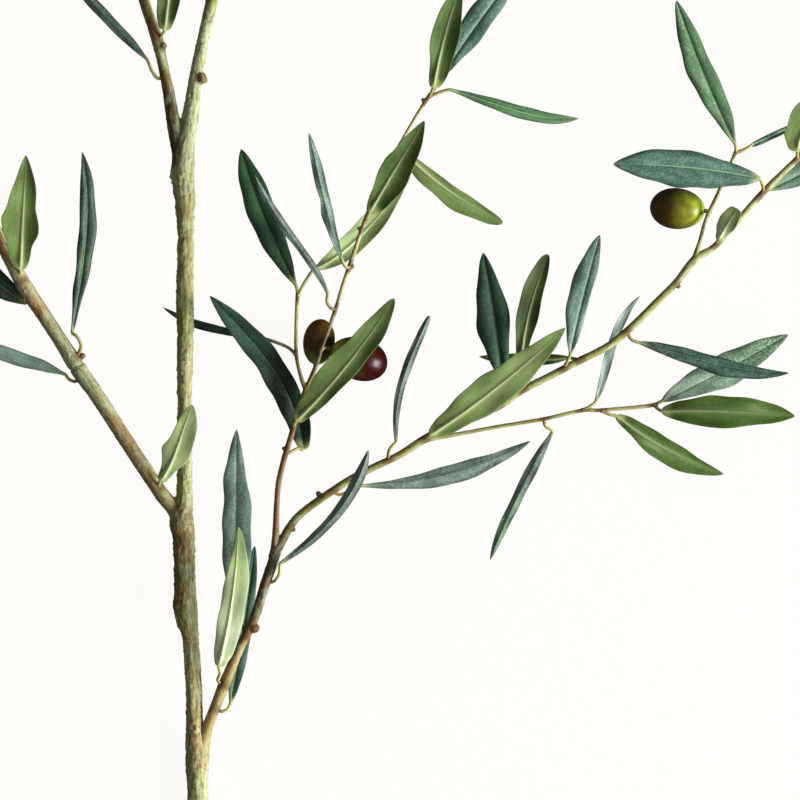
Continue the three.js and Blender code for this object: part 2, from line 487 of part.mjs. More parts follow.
// Evenly spread draws between 0 and 1, the same each time for a seed.
function drawer(seed) {
  let state = seed;
  return () => {
    state = (state * 16807) % 2147483647;
    return state / 2147483647;
  };
}

// Opposite pairs of leaves along the growing end of a stem, with a draw for each leaf's set.
function pairedLeaves(stations, { from, to, pairs, leftTip, rightTip, seed }) {
  const draw = drawer(seed);
  const drawBetween = (low, high) => THREE.MathUtils.lerp(low, high, draw());
  const pointAt = (t) => new THREE.Vector3(...alongStations(stations, t).slice(0, 3));
  const leaves = [];
  for (let i = 0; i < pairs; i += 1) {
    const t = THREE.MathUtils.lerp(from, to, i / (pairs - 1));
    const foot = pointAt(t);
    const { tangent, side } = levelFrame(pointAt, t);
    const size = 1 - PAIR_TAPER * (i / (pairs - 1));
    const widest = PAIR_ANGLE * (i === pairs - 1 ? END_PAIR_SHARE : 1);
    for (const hand of [-1, 1]) {
      const angle = THREE.MathUtils.degToRad(widest * drawBetween(...PAIR_ANGLE_SHARES));
      const length = PAIR_LENGTH * size * drawBetween(...PAIR_SIZE_SHARES);
      const tipHeight = hand < 0 ? leftTip : rightTip;
      const arch = drawBetween(0, PAIR_ARCH);
      const sweep = drawBetween(0, PAIR_SWEEP);
      const out = tangent.clone().multiplyScalar(Math.cos(angle));
      out.addScaledVector(side, hand * Math.sin(angle));
      const base = foot.clone().addScaledVector(out, PAIR_PETIOLE);
      base.z += hand;
      const middle = base.clone().addScaledVector(out, length / 2).addScaledVector(tangent, sweep / 3);
      middle.z = (base.z + tipHeight) / 2 + arch;
      const tip = base.clone().addScaledVector(out, length).addScaledVector(tangent, sweep);
      tip.z = tipHeight;
      leaves.push({
        face: draw() < UPPER_SHARE ? 'upper' : 'under',
        width: PAIR_WIDTH * size * drawBetween(...PAIR_SIZE_SHARES),
        roll: drawBetween(-PAIR_ROLL, PAIR_ROLL),
        foot: foot.toArray(),
        midrib: [base.toArray(), middle.toArray(), tip.toArray()],
      });
    }
  }
  return leaves;
}

// ---- olives ----

function oliveGeometry(length, width, grow = 0) {
  const profile = [];
  for (let i = 0; i <= OLIVE_STEPS; i += 1) {
    const angle = Math.PI * (i / OLIVE_STEPS);
    const along = -Math.cos(angle) * (length / 2 + grow);
    const fullness = 1 - OLIVE_TAPER * Math.cos(angle);
    const radius = i === 0 || i === OLIVE_STEPS ? 0 : Math.sin(angle) * fullness * (width / 2 + grow);
    profile.push(new THREE.Vector2(radius, along));
  }
  return new THREE.LatheGeometry(profile, OLIVE_SIDES);
}

function oliveTurn(axis) {
  const from = new THREE.Vector3(0, 1, 0);
  return new THREE.Quaternion().setFromUnitVectors(from, new THREE.Vector3(...axis).normalize());
}

function grownOlive({ centre, axis, length, width }) {
  const matrix = new THREE.Matrix4();
  matrix.compose(new THREE.Vector3(...centre), oliveTurn(axis), new THREE.Vector3(1, 1, 1));
  return toManifold(oliveGeometry(length, width, NODE_GAP).applyMatrix4(matrix));
}

// The stalk from a twig to an olive's stalk end, which it stops just short of.
function stalk(foot, olive) {
  const axis = new THREE.Vector3(...olive.axis).normalize();
  const centre = new THREE.Vector3(...olive.centre);
  const start = new THREE.Vector3(...foot);
  const end = centre.clone().addScaledVector(axis, -olive.length / 2);
  const before = end.clone().addScaledVector(axis, -STALK_RUN_IN);
  const middle = start.clone().lerp(before, 0.5);
  const stations = [start, middle, before, end].map((point) => [...point.toArray(), STALK_RADIUS]);
  return stem(stations, STALK_SIDES).subtract(grownOlive(olive));
}

// ---- the nodes ----

function fuse(solids) {
  return solids.reduce((whole, solid) => whole.add(solid));
}

const bark = new THREE.MeshStandardMaterial({ color: 0x8d8660, roughness: 0.85, metalness: 0 });
const foliage = new THREE.MeshStandardMaterial({ color: 0x4f7350, roughness: 0.6, metalness: 0 });
const fruitSkin = new THREE.MeshStandardMaterial({ color: 0x3c1a16, roughness: 0.25, metalness: 0 });

const branch = new THREE.Group();
branch.position.set(...ORIGIN_IN_BRANCH.map((value) => -value));

function addNode(name, solid, material) {
  const mesh = new THREE.Mesh(toGeometry(solid), material);
  mesh.name = name;
  branch.add(mesh);
}

function leafyStem(stems, leaves, parents) {
  const woody = fuse(stems);
  const cut = parents.reduce((whole, parent) => whole.subtract(parent), woody);
  return leaves.map(leaf).reduce((whole, solid) => whole.add(solid), cut);
}

const [olive1, olive2, olive3] = OLIVES;

const mainStem = fuse([
  stem(MAIN_STEM, MAIN_SIDES),
  ...MAIN_STUBS.map((stations) => stem(stations, TWIG_SIDES)),
]);
addNode('main_stem', mainStem, bark);

const aroundMain = stem(MAIN_STEM, MAIN_SIDES, 1, NODE_GAP);
const aroundRight = stem(RIGHT_BRANCH, BRANCH_SIDES, 1, NODE_GAP);
const aroundLong = stem(LONG_TWIG, TWIG_SIDES, 1, NODE_GAP);

addNode('leader_shoot', leafyStem(
  [stem(LEADER, BRANCH_SIDES)],
  pairedLeaves(LEADER, LEADER_PAIRS),
  [aroundMain],
), foliage);

addNode('top_left_shoot', leafyStem(
  [stem(TOP_SHOOT, BRANCH_SIDES)],
  [...TOP_SHOOT_LEAVES, ...pairedLeaves(TOP_SHOOT, TOP_SHOOT_PAIRS)],
  [aroundMain],
), foliage);

addNode('left_branch', leafyStem(
  [stem(LEFT_BRANCH, BRANCH_SIDES)],
  [...LEFT_BRANCH_LEAVES, ...pairedLeaves(LEFT_BRANCH, LEFT_BRANCH_PAIRS)],
  [aroundMain],
), foliage);

addNode('right_branch', leafyStem(
  [stem(RIGHT_BRANCH, BRANCH_SIDES), ...RIGHT_STUBS.map((stations) => stem(stations, TWIG_SIDES))],
  RIGHT_BRANCH_LEAVES,
  [aroundMain],
), foliage);

addNode('long_twig', leafyStem(
  [stem(LONG_TWIG, TWIG_SIDES)],
  [...LONG_TWIG_LEAVES, ...pairedLeaves(LONG_TWIG, LONG_TWIG_PAIRS)],
  [aroundRight],
), foliage);

addNode('fruit_twig', leafyStem(
  [
    stem(FRUIT_TWIG, TWIG_SIDES),
    stem(FRUIT_TWIG_LEFT, TWIG_SIDES),
    stem(FRUIT_TWIG_RIGHT, TWIG_SIDES),
    stalk(OLIVE_1_STALK_FOOT, olive1),
    stalk(OLIVE_2_STALK_FOOT, olive2),
  ],
  FRUIT_TWIG_LEAVES,
  [aroundRight, aroundLong],
), foliage);

addNode('lower_twig', leafyStem(
  [stem(LOWER_TWIG, TWIG_SIDES)],
  LOWER_TWIG_LEAVES,
  [aroundLong],
), foliage);

addNode('upper_twig', leafyStem(
  [stem(UPPER_TWIG, TWIG_SIDES), stalk(OLIVE_3_STALK_FOOT, olive3)],
  UPPER_TWIG_LEAVES,
  [aroundLong],
), foliage);

for (const { name, centre, axis, length, width } of OLIVES) {
  const mesh = new THREE.Mesh(oliveGeometry(length, width), fruitSkin);
  mesh.name = name;
  mesh.position.set(...centre);
  mesh.quaternion.copy(oliveTurn(axis));
  branch.add(mesh);
}

export default branch;
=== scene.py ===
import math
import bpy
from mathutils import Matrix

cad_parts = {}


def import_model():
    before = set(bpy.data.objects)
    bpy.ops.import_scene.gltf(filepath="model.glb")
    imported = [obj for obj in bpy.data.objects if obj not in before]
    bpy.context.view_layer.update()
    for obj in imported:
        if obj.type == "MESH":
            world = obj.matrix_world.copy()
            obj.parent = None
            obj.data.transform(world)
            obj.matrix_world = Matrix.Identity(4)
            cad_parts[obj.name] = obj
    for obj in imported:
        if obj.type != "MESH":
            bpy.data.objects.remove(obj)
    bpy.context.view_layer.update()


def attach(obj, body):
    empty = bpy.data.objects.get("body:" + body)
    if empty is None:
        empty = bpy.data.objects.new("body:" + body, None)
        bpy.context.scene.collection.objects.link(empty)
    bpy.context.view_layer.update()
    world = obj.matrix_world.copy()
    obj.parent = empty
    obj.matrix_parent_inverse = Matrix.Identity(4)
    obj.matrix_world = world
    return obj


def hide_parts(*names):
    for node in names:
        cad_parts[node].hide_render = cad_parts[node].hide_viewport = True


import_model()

# The looks of a cut olive branch with fruit, lying on a pale floor and seen from straight above.
#
# The stems, leaves and olives are given in millimetres, in branch coordinates: +Y runs up the main
# stem from its cut end and +X to the side that carries the fruit. world() moves them to the frame.

from types import SimpleNamespace

import bpy
import numpy as np
from mathutils import Vector, kdtree, noise

ORIGIN_IN_BRANCH = np.array([-2.9, 49.2, 0.0])
MM = 0.001


def world(points):
    """Branch coordinates in millimetres to the frame's metres."""
    return (np.asarray(points, float) - ORIGIN_IN_BRANCH) * MM


def colour(code):
    """A colour written as #rrggbb, in linear light."""
    shares = np.array([int(code[i:i + 2], 16) / 255 for i in (1, 3, 5)])
    return np.where(shares <= 0.04045, shares / 12.92, ((shares + 0.055) / 1.055) ** 2.4)


def ease(low, high, value):
    """0 below low, 1 above high, and smooth between them."""
    share = np.clip((value - low) / (high - low), 0, 1)
    return share * share * (3 - 2 * share)


# ---- the stems: stations [x, y, z, radius] ----

MAIN_STEM = [
    [-85, -205, 4.3, 4.3], [-85.3, -167, 5.4, 4.3], [-85.6, -149, 6, 5], [-86.5, -136, 6.5, 3.6],
    [-87.2, -115, 7.4, 3.4], [-88.4, -100, 8.1, 3.5], [-90.4, -88, 8.8, 5.1], [-90.6, -78, 9.3, 4.5],
    [-91, -59, 10.3, 4.6], [-92, -50, 10.8, 5.1], [-90.8, -40, 11.5, 3.5], [-90.6, -15, 13, 3.1],
    [-90.6, 5, 14.2, 3.1], [-90.4, 26, 15.2, 3.5], [-90.4, 50, 15.6, 3.6], [-90.2, 70, 15.4, 3.4],
    [-90.4, 82, 15.2, 4.1], [-91.3, 95, 14.8, 4.8], [-91, 105, 14.5, 4.6], [-89.2, 113, 14.2, 3.8],
    [-87.2, 127, 13.6, 3.1], [-84.8, 142, 13.1, 2.8], [-81.2, 160, 12.4, 2.4],
]
LEADER = [
    [-81.2, 160, 12.4, 2.4], [-79, 169, 12, 2.6], [-76, 185, 11.2, 2.2], [-72.5, 205, 10.2, 1.9],
    [-69.5, 225, 9, 1.6], [-67.5, 245, 7.6, 1.3], [-66.5, 262, 6.4, 1.1],
]
TOP_SHOOT = [
    [-92, 100, 14.6, 2.6], [-94.7, 113, 14.2, 2.9], [-97.5, 130, 13.6, 2.45], [-99.8, 141, 13.2, 2.2],
    [-102, 151, 12.8, 2.5], [-105, 160, 12.3, 2.35], [-107.7, 168, 11.8, 2.3], [-112, 185, 11, 2],
    [-117, 203, 10, 1.7], [-121, 220, 8.8, 1.3], [-123.5, 234, 7.8, 1.1],
]
LEFT_BRANCH = [
    [-91.5, -51, 10.8, 3.2], [-95.8, -45, 11, 3.2], [-101.5, -38, 11.2, 3.1], [-115, -17.5, 11.5, 3.1],
    [-127.3, 1.5, 11.5, 3.2], [-135.6, 13.3, 11.3, 3.6], [-142.2, 23.8, 11, 3.1], [-150.8, 37, 10.6, 3.1],
    [-158.5, 48.6, 10.2, 3.3], [-163.5, 58, 10, 3], [-168.3, 67, 9.7, 2.8], [-176, 83, 9, 2.4],
    [-184.5, 100, 8.2, 2], [-193, 116, 7.2, 1.6], [-200, 129, 6.4, 1.2],
]
RIGHT_BRANCH = [
    [-84.1, -150, 6.2, 3], [-82.1, -141, 7.2, 2.7], [-79.7, -134, 8.4, 2.2], [-74.3, -120.5, 10.8, 2.4],
    [-67.8, -105, 13.6, 2], [-61.4, -92, 16, 2], [-56.5, -76.7, 18, 2.1], [-53.3, -68, 19, 2.3],
    [-51.7, -61.5, 19.6, 2.2],
]
FRUIT_TWIG = [
    [-53.2, -66, 19.2, 1.6], [-52.3, -57.5, 20.2, 1.5], [-51.8, -44.5, 21.4, 1.2], [-51, -35, 22, 1.2],
    [-48.6, -24.5, 22.5, 1.2], [-46, -16, 22.9, 1.2], [-42.8, -5, 23.5, 1.1], [-39.5, 4.5, 24, 1.2],
]
FRUIT_TWIG_LEFT = [
    [-39.5, 4.5, 24, 1], [-41.2, 8.5, 24.2, 0.85], [-43.4, 18, 24.7, 0.8], [-43.6, 28, 25.2, 0.8],
    [-43.3, 38, 25.8, 0.8], [-42.9, 45, 26.2, 0.9],
]
FRUIT_TWIG_RIGHT = [
    [-39.5, 4.5, 24, 1], [-35, 15, 24.9, 0.95], [-33, 22, 25.4, 0.9], [-28, 35, 26.8, 0.9],
    [-24, 48, 28, 0.85], [-21.3, 55.5, 28.6, 1], [-16.6, 70, 29, 0.85], [-14, 77, 28.8, 0.9],
    [-10.2, 87, 28, 0.8], [-5, 98, 27.2, 0.8], [5, 116, 26.2, 0.75], [12.8, 128.5, 26, 0.9],
]
LONG_TWIG = [
    [-53.2, -66, 19.3, 1.7], [-49.2, -58.5, 20, 1.8], [-46.5, -53.6, 20.2, 1.7], [-41.6, -47.8, 20.5, 1.6],
    [-31.6, -40.4, 20.8, 1.6], [-21.5, -33.8, 21, 1.6], [-12, -28.7, 21.2, 1.5], [0, -22.9, 21.4, 1.5],
    [12.2, -15.3, 21.6, 1.7], [26, -9, 21.8, 1.5], [41.2, -2.8, 22, 1.5], [51.5, 4.2, 22, 1.5],
    [61.7, 9.4, 22, 1.5], [73.9, 15.8, 21.9, 1.5], [86.8, 22.3, 21.7, 1.5], [96.4, 29.9, 21.4, 1.5],
    [107.9, 41.2, 20.9, 1.5], [116, 49.3, 20.5, 1.5], [123.9, 59.2, 20, 1.6], [132.6, 64.9, 19.6, 1.3],
    [144.4, 78.1, 18.8, 1.3], [152.6, 87.2, 18.1, 1.4], [160.4, 95, 17.4, 1.3], [167, 101.3, 16.6, 1.3],
    [177, 112, 15.2, 1.1], [187, 123, 13.6, 1], [196, 133, 12, 0.9],
]
LOWER_TWIG = [
    [11, -16.5, 21.5, 1.1], [25.7, -14.1, 20.6, 0.85], [41.2, -11.2, 19.8, 0.8], [60.4, -8, 18.9, 0.8],
    [76.5, -4.4, 18, 0.8], [84, -4.3, 17.7, 0.8], [100.8, -2.9, 17, 0.8], [108.5, -1.8, 16.6, 0.9],
]
UPPER_TWIG = [
    [122.8, 57.5, 20, 1.1], [125.8, 66, 20.8, 0.85], [128.6, 76, 21.6, 0.8], [134.4, 88.6, 22.6, 0.8],
    [139.4, 100.5, 23.2, 0.75], [141.6, 105.3, 23.4, 0.9],
]
MAIN_STUBS = [
    [[-91, 94, 14.8, 3], [-96.4, 95.5, 14.6, 2.2]],
    [[-86, 134.5, 13.4, 2.4], [-81.6, 135.6, 14, 1.9]],
]
RIGHT_STUBS = [[[-63.5, -96.5, 15.2, 2], [-60, -95.8, 15.6, 1.8]]]

# ---- the colours of the stems ----

KHAKI = "#aca670"
OLIVE_BROWN = "#7e7239"
SAGE = "#abb285"
BROWN = "#7d6636"
DARK_BROWN = "#45351d"
TAN = "#a89460"
GOLD = "#98824a"
RED_BROWN = "#7a5738"
OLIVE_KHAKI = "#8f8d4e"
GREEN_KHAKI = "#b3b468"
PALE_KHAKI = "#c2b284"
WARM_TAN = "#b08a56"

# Each stem with its colours, as shares of its length, and the depth of its bark's relief.
BARK_STEMS = [
    (MAIN_STEM, [(0, KHAKI), (0.13, KHAKI), (0.16, TAN), (0.24, KHAKI), (0.29, TAN), (0.33, OLIVE_BROWN),
                 (0.4, BROWN), (0.43, OLIVE_BROWN), (0.46, KHAKI), (0.6, KHAKI), (0.66, OLIVE_KHAKI),
                 (0.8, KHAKI), (0.84, SAGE), (1, SAGE)], 0.36),
    (LEADER, [(0, OLIVE_KHAKI), (0.6, OLIVE_KHAKI), (1, KHAKI)], 0.2),
    (TOP_SHOOT, [(0, DARK_BROWN), (0.2, DARK_BROWN), (0.3, OLIVE_BROWN), (0.38, OLIVE_KHAKI),
                 (0.4, RED_BROWN), (0.43, RED_BROWN), (0.46, OLIVE_BROWN), (1, KHAKI)], 0.14),
    (LEFT_BRANCH, [(0, KHAKI), (0.12, TAN), (0.2, WARM_TAN), (0.28, KHAKI), (0.36, SAGE), (0.44, SAGE),
                   (0.5, WARM_TAN), (0.58, PALE_KHAKI), (0.64, WARM_TAN), (0.68, RED_BROWN), (0.74, TAN),
                   (1, KHAKI)], 0.14),
]
TWIG_STEMS = [
    (RIGHT_BRANCH, [(0, TAN), (0.35, GOLD), (0.5, TAN), (0.6, RED_BROWN), (0.8, DARK_BROWN),
                    (1, DARK_BROWN)], 0.1),
    (FRUIT_TWIG, [(0, DARK_BROWN), (0.15, RED_BROWN), (0.7, RED_BROWN), (1, OLIVE_BROWN)], 0.04),
    (FRUIT_TWIG_LEFT, [(0, RED_BROWN), (0.3, OLIVE_KHAKI), (0.6, GREEN_KHAKI), (1, GREEN_KHAKI)], 0.03),
    (FRUIT_TWIG_RIGHT, [(0, BROWN), (0.16, DARK_BROWN), (0.26, PALE_KHAKI), (0.45, TAN),
                        (0.7, PALE_KHAKI), (1, TAN)], 0.03),
    (LONG_TWIG, [(0, DARK_BROWN), (0.08, OLIVE_BROWN), (0.25, OLIVE_KHAKI), (0.6, OLIVE_KHAKI),
                 (0.8, KHAKI), (1, TAN)], 0.06),
    (LOWER_TWIG, [(0, OLIVE_KHAKI), (0.5, OLIVE_KHAKI), (0.8, KHAKI), (1, TAN)], 0.03),
    (UPPER_TWIG, [(0, OLIVE_BROWN), (0.5, BROWN), (1, GREEN_KHAKI)], 0.03),
]
STALK_COLOURS = [(0, TAN), (1, RED_BROWN)]
STALK_RELIEF = 0.02

# Rings round the bark where the stem stopped growing for a while: [x, y], and how deep each one is.
BARK_RINGS = [
    [-90.4, 68.5, 0.5], [-90.5, 27, 0.35], [-135.6, 14.5, 0.5], [-84.8, -148, 0.3], [-91.2, -47, 0.3],
]
RING_WIDTH = 0.9
RING_REACH = 7.0
RING_WOBBLE = 0.5  # how fine their unevenness is, per millimetre

# Buds and knobs of the bark: [x, y, z, radius].
BARK_BUDS = [
    [-83.4, 135.3, 15.2, 2.1], [-99.5, 149, 14.2, 1.6], [-94.3, -46, 12.4, 2.2], [-133.8, 18.4, 12.2, 1.6],
]
TWIG_BUDS = [
    [-61.3, -95.9, 15.9, 2.2], [-34.3, -39.3, 20.8, 1.1], [-48.9, -20.3, 22.7, 0.8],
    [-44.8, -54.4, 20.4, 1], [9.7, 125.9, 26, 0.9], [-17.2, 72, 29, 0.8], [117, 47.7, 20.4, 1],
    [-20.2, 56, 28.7, 1.1], [77, -4.2, 18, 1], [-74.2, -119.8, 11.4, 1.9],
]

# ---- the leaves ----
#
# A leaf turns its upper or its under face up. It has a tone, the foot where its petiole leaves the stem,
# and the points of its midrib from the blade's base to its tip. left and right are how far the margins
# stand from the midrib at MARGIN_SHARES of the blade, looking down on it with its tip pointing away, and
# both is for margins alike. width is for a plain lanceolate blade. bends are points of the petiole. base
# and tip are the powers of the outline, and a bump of a margin is its side, its share and its height.
# fold is a slope in degrees: of an upper face beside the midrib, below zero where the midrib is a ridge,
# and of an under face at the margins. crown is where an upper face is highest, and roll turns the blade
# round its midrib. bloom is how much grey powder the upper face has, grit how grainy it is, rib how
# clearly the midrib shows, tip_tone the tone towards the tip and stalk that of the petiole's foot.

SLENDER = 0.85  # base powers: the larger, the narrower the blade's base
BROAD = 0.33

BLACK_GREEN = "#0f2417"
DEEP = "#1f3f29"
FOREST = "#214424"
LIT_FOREST = "#34613a"
BOTTLE_GREEN = "#25492f"
DARK_BOTTLE = "#1f4434"
SMOKY_GREEN = "#33523c"
DARK_TEAL = "#31503f"
TEAL = "#38604f"
GREY_TEAL = "#607c6b"
SOFT_TEAL = "#688576"
PALE_TEAL = "#6c8c7e"
ASH_TEAL = "#a3b8ae"
GREY_GREEN = "#55665c"
SILVER_GREEN = "#7b998b"
PALE_SAGE = "#8faa92"
MID_GREEN = "#4e7549"
FRESH_GREEN = "#4f7a49"
DUSTY_GREEN = "#5d8257"
DULL_UNDER = "#384e1c"
MOSS_UNDER = "#3d5621"
GRASS_UNDER = "#44611f"
DARK_UNDER = "#4a6627"
IVY_UNDER = "#4b6b25"
FERN_UNDER = "#5a7338"
OLIVE_UNDER = "#627a3a"
SPRING_UNDER = "#6d8743"
LIGHT_UNDER = "#869f5c"
PALE_UNDER = "#a9bf80"
CREAM_UNDER = "#cfdcb0"
PETIOLE_GREEN = "#a8ab63"
PETIOLE_BROWN = "#9c7440"


def upper(tone, foot, midrib, **shape):
    return dict(face="upper", tone=tone, foot=foot, midrib=midrib, **shape)


def under(tone, foot, midrib, **shape):
    return dict(face="under", tone=tone, foot=foot, midrib=midrib, **shape)


LEFT_BRANCH_LEAVES = [
    under(PALE_UNDER, [-101.5, -37, 12],
        [[-100.8, -34, 16], [-95.5, -25, 21], [-91.5, -14, 25.5], [-87.2, -2, 28]],
        left=[3.3, 5.6, 4.1, 3.3], right=[3.2, 6, 6.4, 5.1], base=BROAD, tip=0.6, fold=9,
        bumps=[(-1, 0.43, 0.6)]),
    upper(SILVER_GREEN, [-135, 9.5, 11], [[-141, 10.8, 10.5], [-165, 18.8, 8], [-191, 25.5, 5.5]],
        bends=[[-136.8, 7.8, 10.5], [-139.5, 8.8, 10]], both=[2.4, 3.1, 3.2, 2.6], base=SLENDER, roll=12,
        bloom=0.7),
    upper(DEEP, [-136.4, 17.6, 12],
        [[-138, 28.2, 14], [-134, 52, 16], [-131.6, 78, 18], [-133.6, 104.3, 19]],
        bends=[[-134.2, 22.5, 14], [-135.8, 26.6, 15]], left=[2.4, 3.2, 3.4, 3],
        right=[1.7, 3.6, 4.2, 3.2], base=SLENDER, fold=40, roll=20, bloom=0.25),
    upper(DEEP, [-155.5, 43, 10.4], [[-158.4, 40.8, 8], [-182, 58, 5], [-205, 75, 1.5]], width=13.5,
        base=0.7),
    under(SPRING_UNDER, [-159, 50, 11], [[-159.8, 55, 14], [-158.2, 78, 26], [-156.6, 102.5, 36]],
        left=[5.8, 8, 6.6, 3.8], right=[4.5, 6.6, 5.8, 4.3], base=BROAD,
        bumps=[(-1, 0.49, 1.3), (1, 0.34, 0.6), (1, 0.55, -0.5)]),
]
TOP_SHOOT_LEAVES = [
    upper(SMOKY_GREEN, [-100.3, 135.5, 13.6], [[-106.3, 143.2, 13], [-123.4, 161, 12], [-144, 183.5, 9]],
        bends=[[-102.3, 135.6, 14], [-104.6, 139, 14]], left=[1.6, 2.2, 2.4, 2],
        right=[1.8, 2.2, 2.2, 1.7], base=SLENDER, fold=-40, crown=1, bloom=0.5, rib=0),
    under(MOSS_UNDER, [-101.6, 152, 13.5], [[-99, 155.5, 17], [-95.3, 182, 23], [-90.5, 209, 27]],
        left=[4.6, 5.8, 6, 4.6], right=[4.6, 5.8, 5.8, 4.4], base=BROAD),
]
RIGHT_BRANCH_LEAVES = [
    upper(SOFT_TEAL, [-65, -99, 14.8], [[-69.3, -86, 11], [-69, -50, 9], [-68.9, -12.4, 6]],
        left=[5, 5.9, 5.4, 4.2], right=[5.6, 6.4, 6, 3.3], bumps=[(-1, 0.74, 0.6)], bloom=0.9, grit=0.7),
    under(CREAM_UNDER, [-74.6, -119.6, 11.5], [[-76.3, -112, 16], [-70.6, -84, 22], [-67.8, -53, 25]],
        bends=[[-76.7, -118, 13], [-75.7, -115, 14.5]], left=[4.2, 4.6, 4.1, 2.5],
        right=[5.4, 5.8, 6.1, 4.6], base=0.4, fold=-7, tip_tone=PALE_UNDER),
    upper(TEAL, [-77, -130, 9], [[-71.3, -127.3, 8], [-66.3, -98, 5], [-61.3, -61.5, 3]],
        bends=[[-75.3, -131.2, 9.5], [-72.6, -130.2, 9]], width=7.4, tip=0.6),
    upper(GREY_GREEN, [-56.2, -76.5, 18],
        [[-50.3, -68.6, 22], [-34.5, -56.2, 25.5], [-21.6, -40.6, 30], [-13.2, -21, 33]],
        bends=[[-52.9, -76.2, 19.5], [-50.7, -73, 21]], both=[1.5, 2, 2.3, 2.5], tip=0.6, fold=-45,
        crown=1.2, bloom=0.4, rib=0),
]
FRUIT_TWIG_LEAVES = [
    upper(DEEP, [-43.6, 19, 24.8],
        [[-54, 24.9, 20.5], [-69, 28.2, 13], [-84.5, 31.6, 6.8], [-100, 39.2, 6]],
        bends=[[-47.3, 22.2, 23]], both=[1.3, 1.6, 1.8, 1.5], base=SLENDER, fold=45, rib=0.3),
    upper(BLACK_GREEN, [-48.3, -22.6, 22.3],
        [[-40.3, -21, 18.3], [-47.3, 2.5, 19.3], [-61, 23, 22], [-80, 43.8, 25]],
        bends=[[-45.8, -21.8, 21], [-42.8, -20.4, 19]], left=[5.2, 6, 5.1, 4.5],
        right=[5.1, 5.4, 5.8, 4.4], base=0.4, fold=22, crown=1.3, tip_tone=DARK_TEAL, bloom=0.05,
        rib=0.4),
    upper(FOREST, [-43, 43.4, 26.1], [[-43.6, 48, 26], [-57, 76.5, 23], [-66.8, 105.5, 17]], width=12.2,
        base=SLENDER, fold=32, tip_tone=LIT_FOREST, bloom=0.12, rib=0.6),
    upper(GREY_GREEN, [-26.8, 38.3, 27.1],
        [[-30.3, 44.6, 29], [-39.1, 59.9, 30.5], [-50.2, 75, 32], [-60.8, 94.3, 32]],
        bends=[[-28.6, 38.3, 28], [-30.6, 41, 29]], both=[1.4, 1.4, 1.9, 1.6], base=SLENDER, fold=-45,
        crown=1, bloom=0.6, rib=0),
    upper(GREY_TEAL, [-20.8, 55.9, 28.8],
        [[-24, 58, 31], [-29.6, 75.5, 34], [-33.8, 93, 35], [-38.2, 112, 35]], bends=[[-22.6, 55.7, 30]],
        left=[1.8, 2.3, 2.2, 2], right=[1.6, 2.4, 2.5, 2.1], base=SLENDER, fold=-38, crown=0.8,
        bumps=[(-1, 0.38, 0.4), (-1, 0.5, -0.5)], bloom=0.7, rib=0.2),
    under(PALE_UNDER, [-43, 43.4, 26.1], [[-36.3, 54.8, 25], [-17.9, 67.7, 22], [3, 93, 23]],
        bends=[[-40.2, 49, 26]], width=10, base=SLENDER, stalk=GREEN_KHAKI),
    under(DARK_UNDER, [-14.3, 76, 28.9], [[-12.8, 78.5, 32], [-1.8, 97, 35], [10.2, 116.9, 37]],
        left=[3.9, 5.5, 4.9, 3.2], right=[5.9, 7.3, 6.5, 4.4], base=0.4, bumps=[(-1, 0.55, 0.7)]),
    under(FERN_UNDER, [-44.6, -11, 23.2], [[-43.6, -8.8, 26], [-22.6, 14.2, 34], [-2.4, 42.6, 39]],
        left=[5.7, 8, 6.5, 4.3], right=[3.7, 4.8, 5.4, 5.1], base=BROAD, tip=0.6, fold=24),
    under(OLIVE_UNDER, [-2, 103.5, 26.9], [[1.5, 104, 25], [20.3, 88, 22], [43.3, 74.5, 17]],
        left=[2.6, 2.9, 3.1, 2.6], right=[4, 4.9, 5.7, 4.3], tip=0.5, fold=16),
    upper(MID_GREEN, [12, 127.2, 26],
        [[21, 130.2, 27], [39, 124.4, 26.5], [57, 119.3, 24], [75, 118.4, 17]], left=[1.6, 2.5, 2.7, 2.2],
        right=[1.6, 2.4, 2.7, 2.3], base=SLENDER, fold=35, bloom=0.3),
    under(DARK_UNDER, [12, 127.2, 26], [[14, 131, 29], [18.6, 152, 34], [25.5, 175, 38]],
        left=[3.2, 5, 5.6, 3.8], right=[5.2, 6.2, 5.7, 4], base=BROAD),
    upper(TEAL, [12, 127.2, 26], [[17, 134.5, 25], [31.5, 156.5, 23], [50, 181, 18]], left=[4, 6, 6.2, 4.6],
        right=[2.6, 4.7, 4.9, 4], base=0.9, bloom=0.5),
]
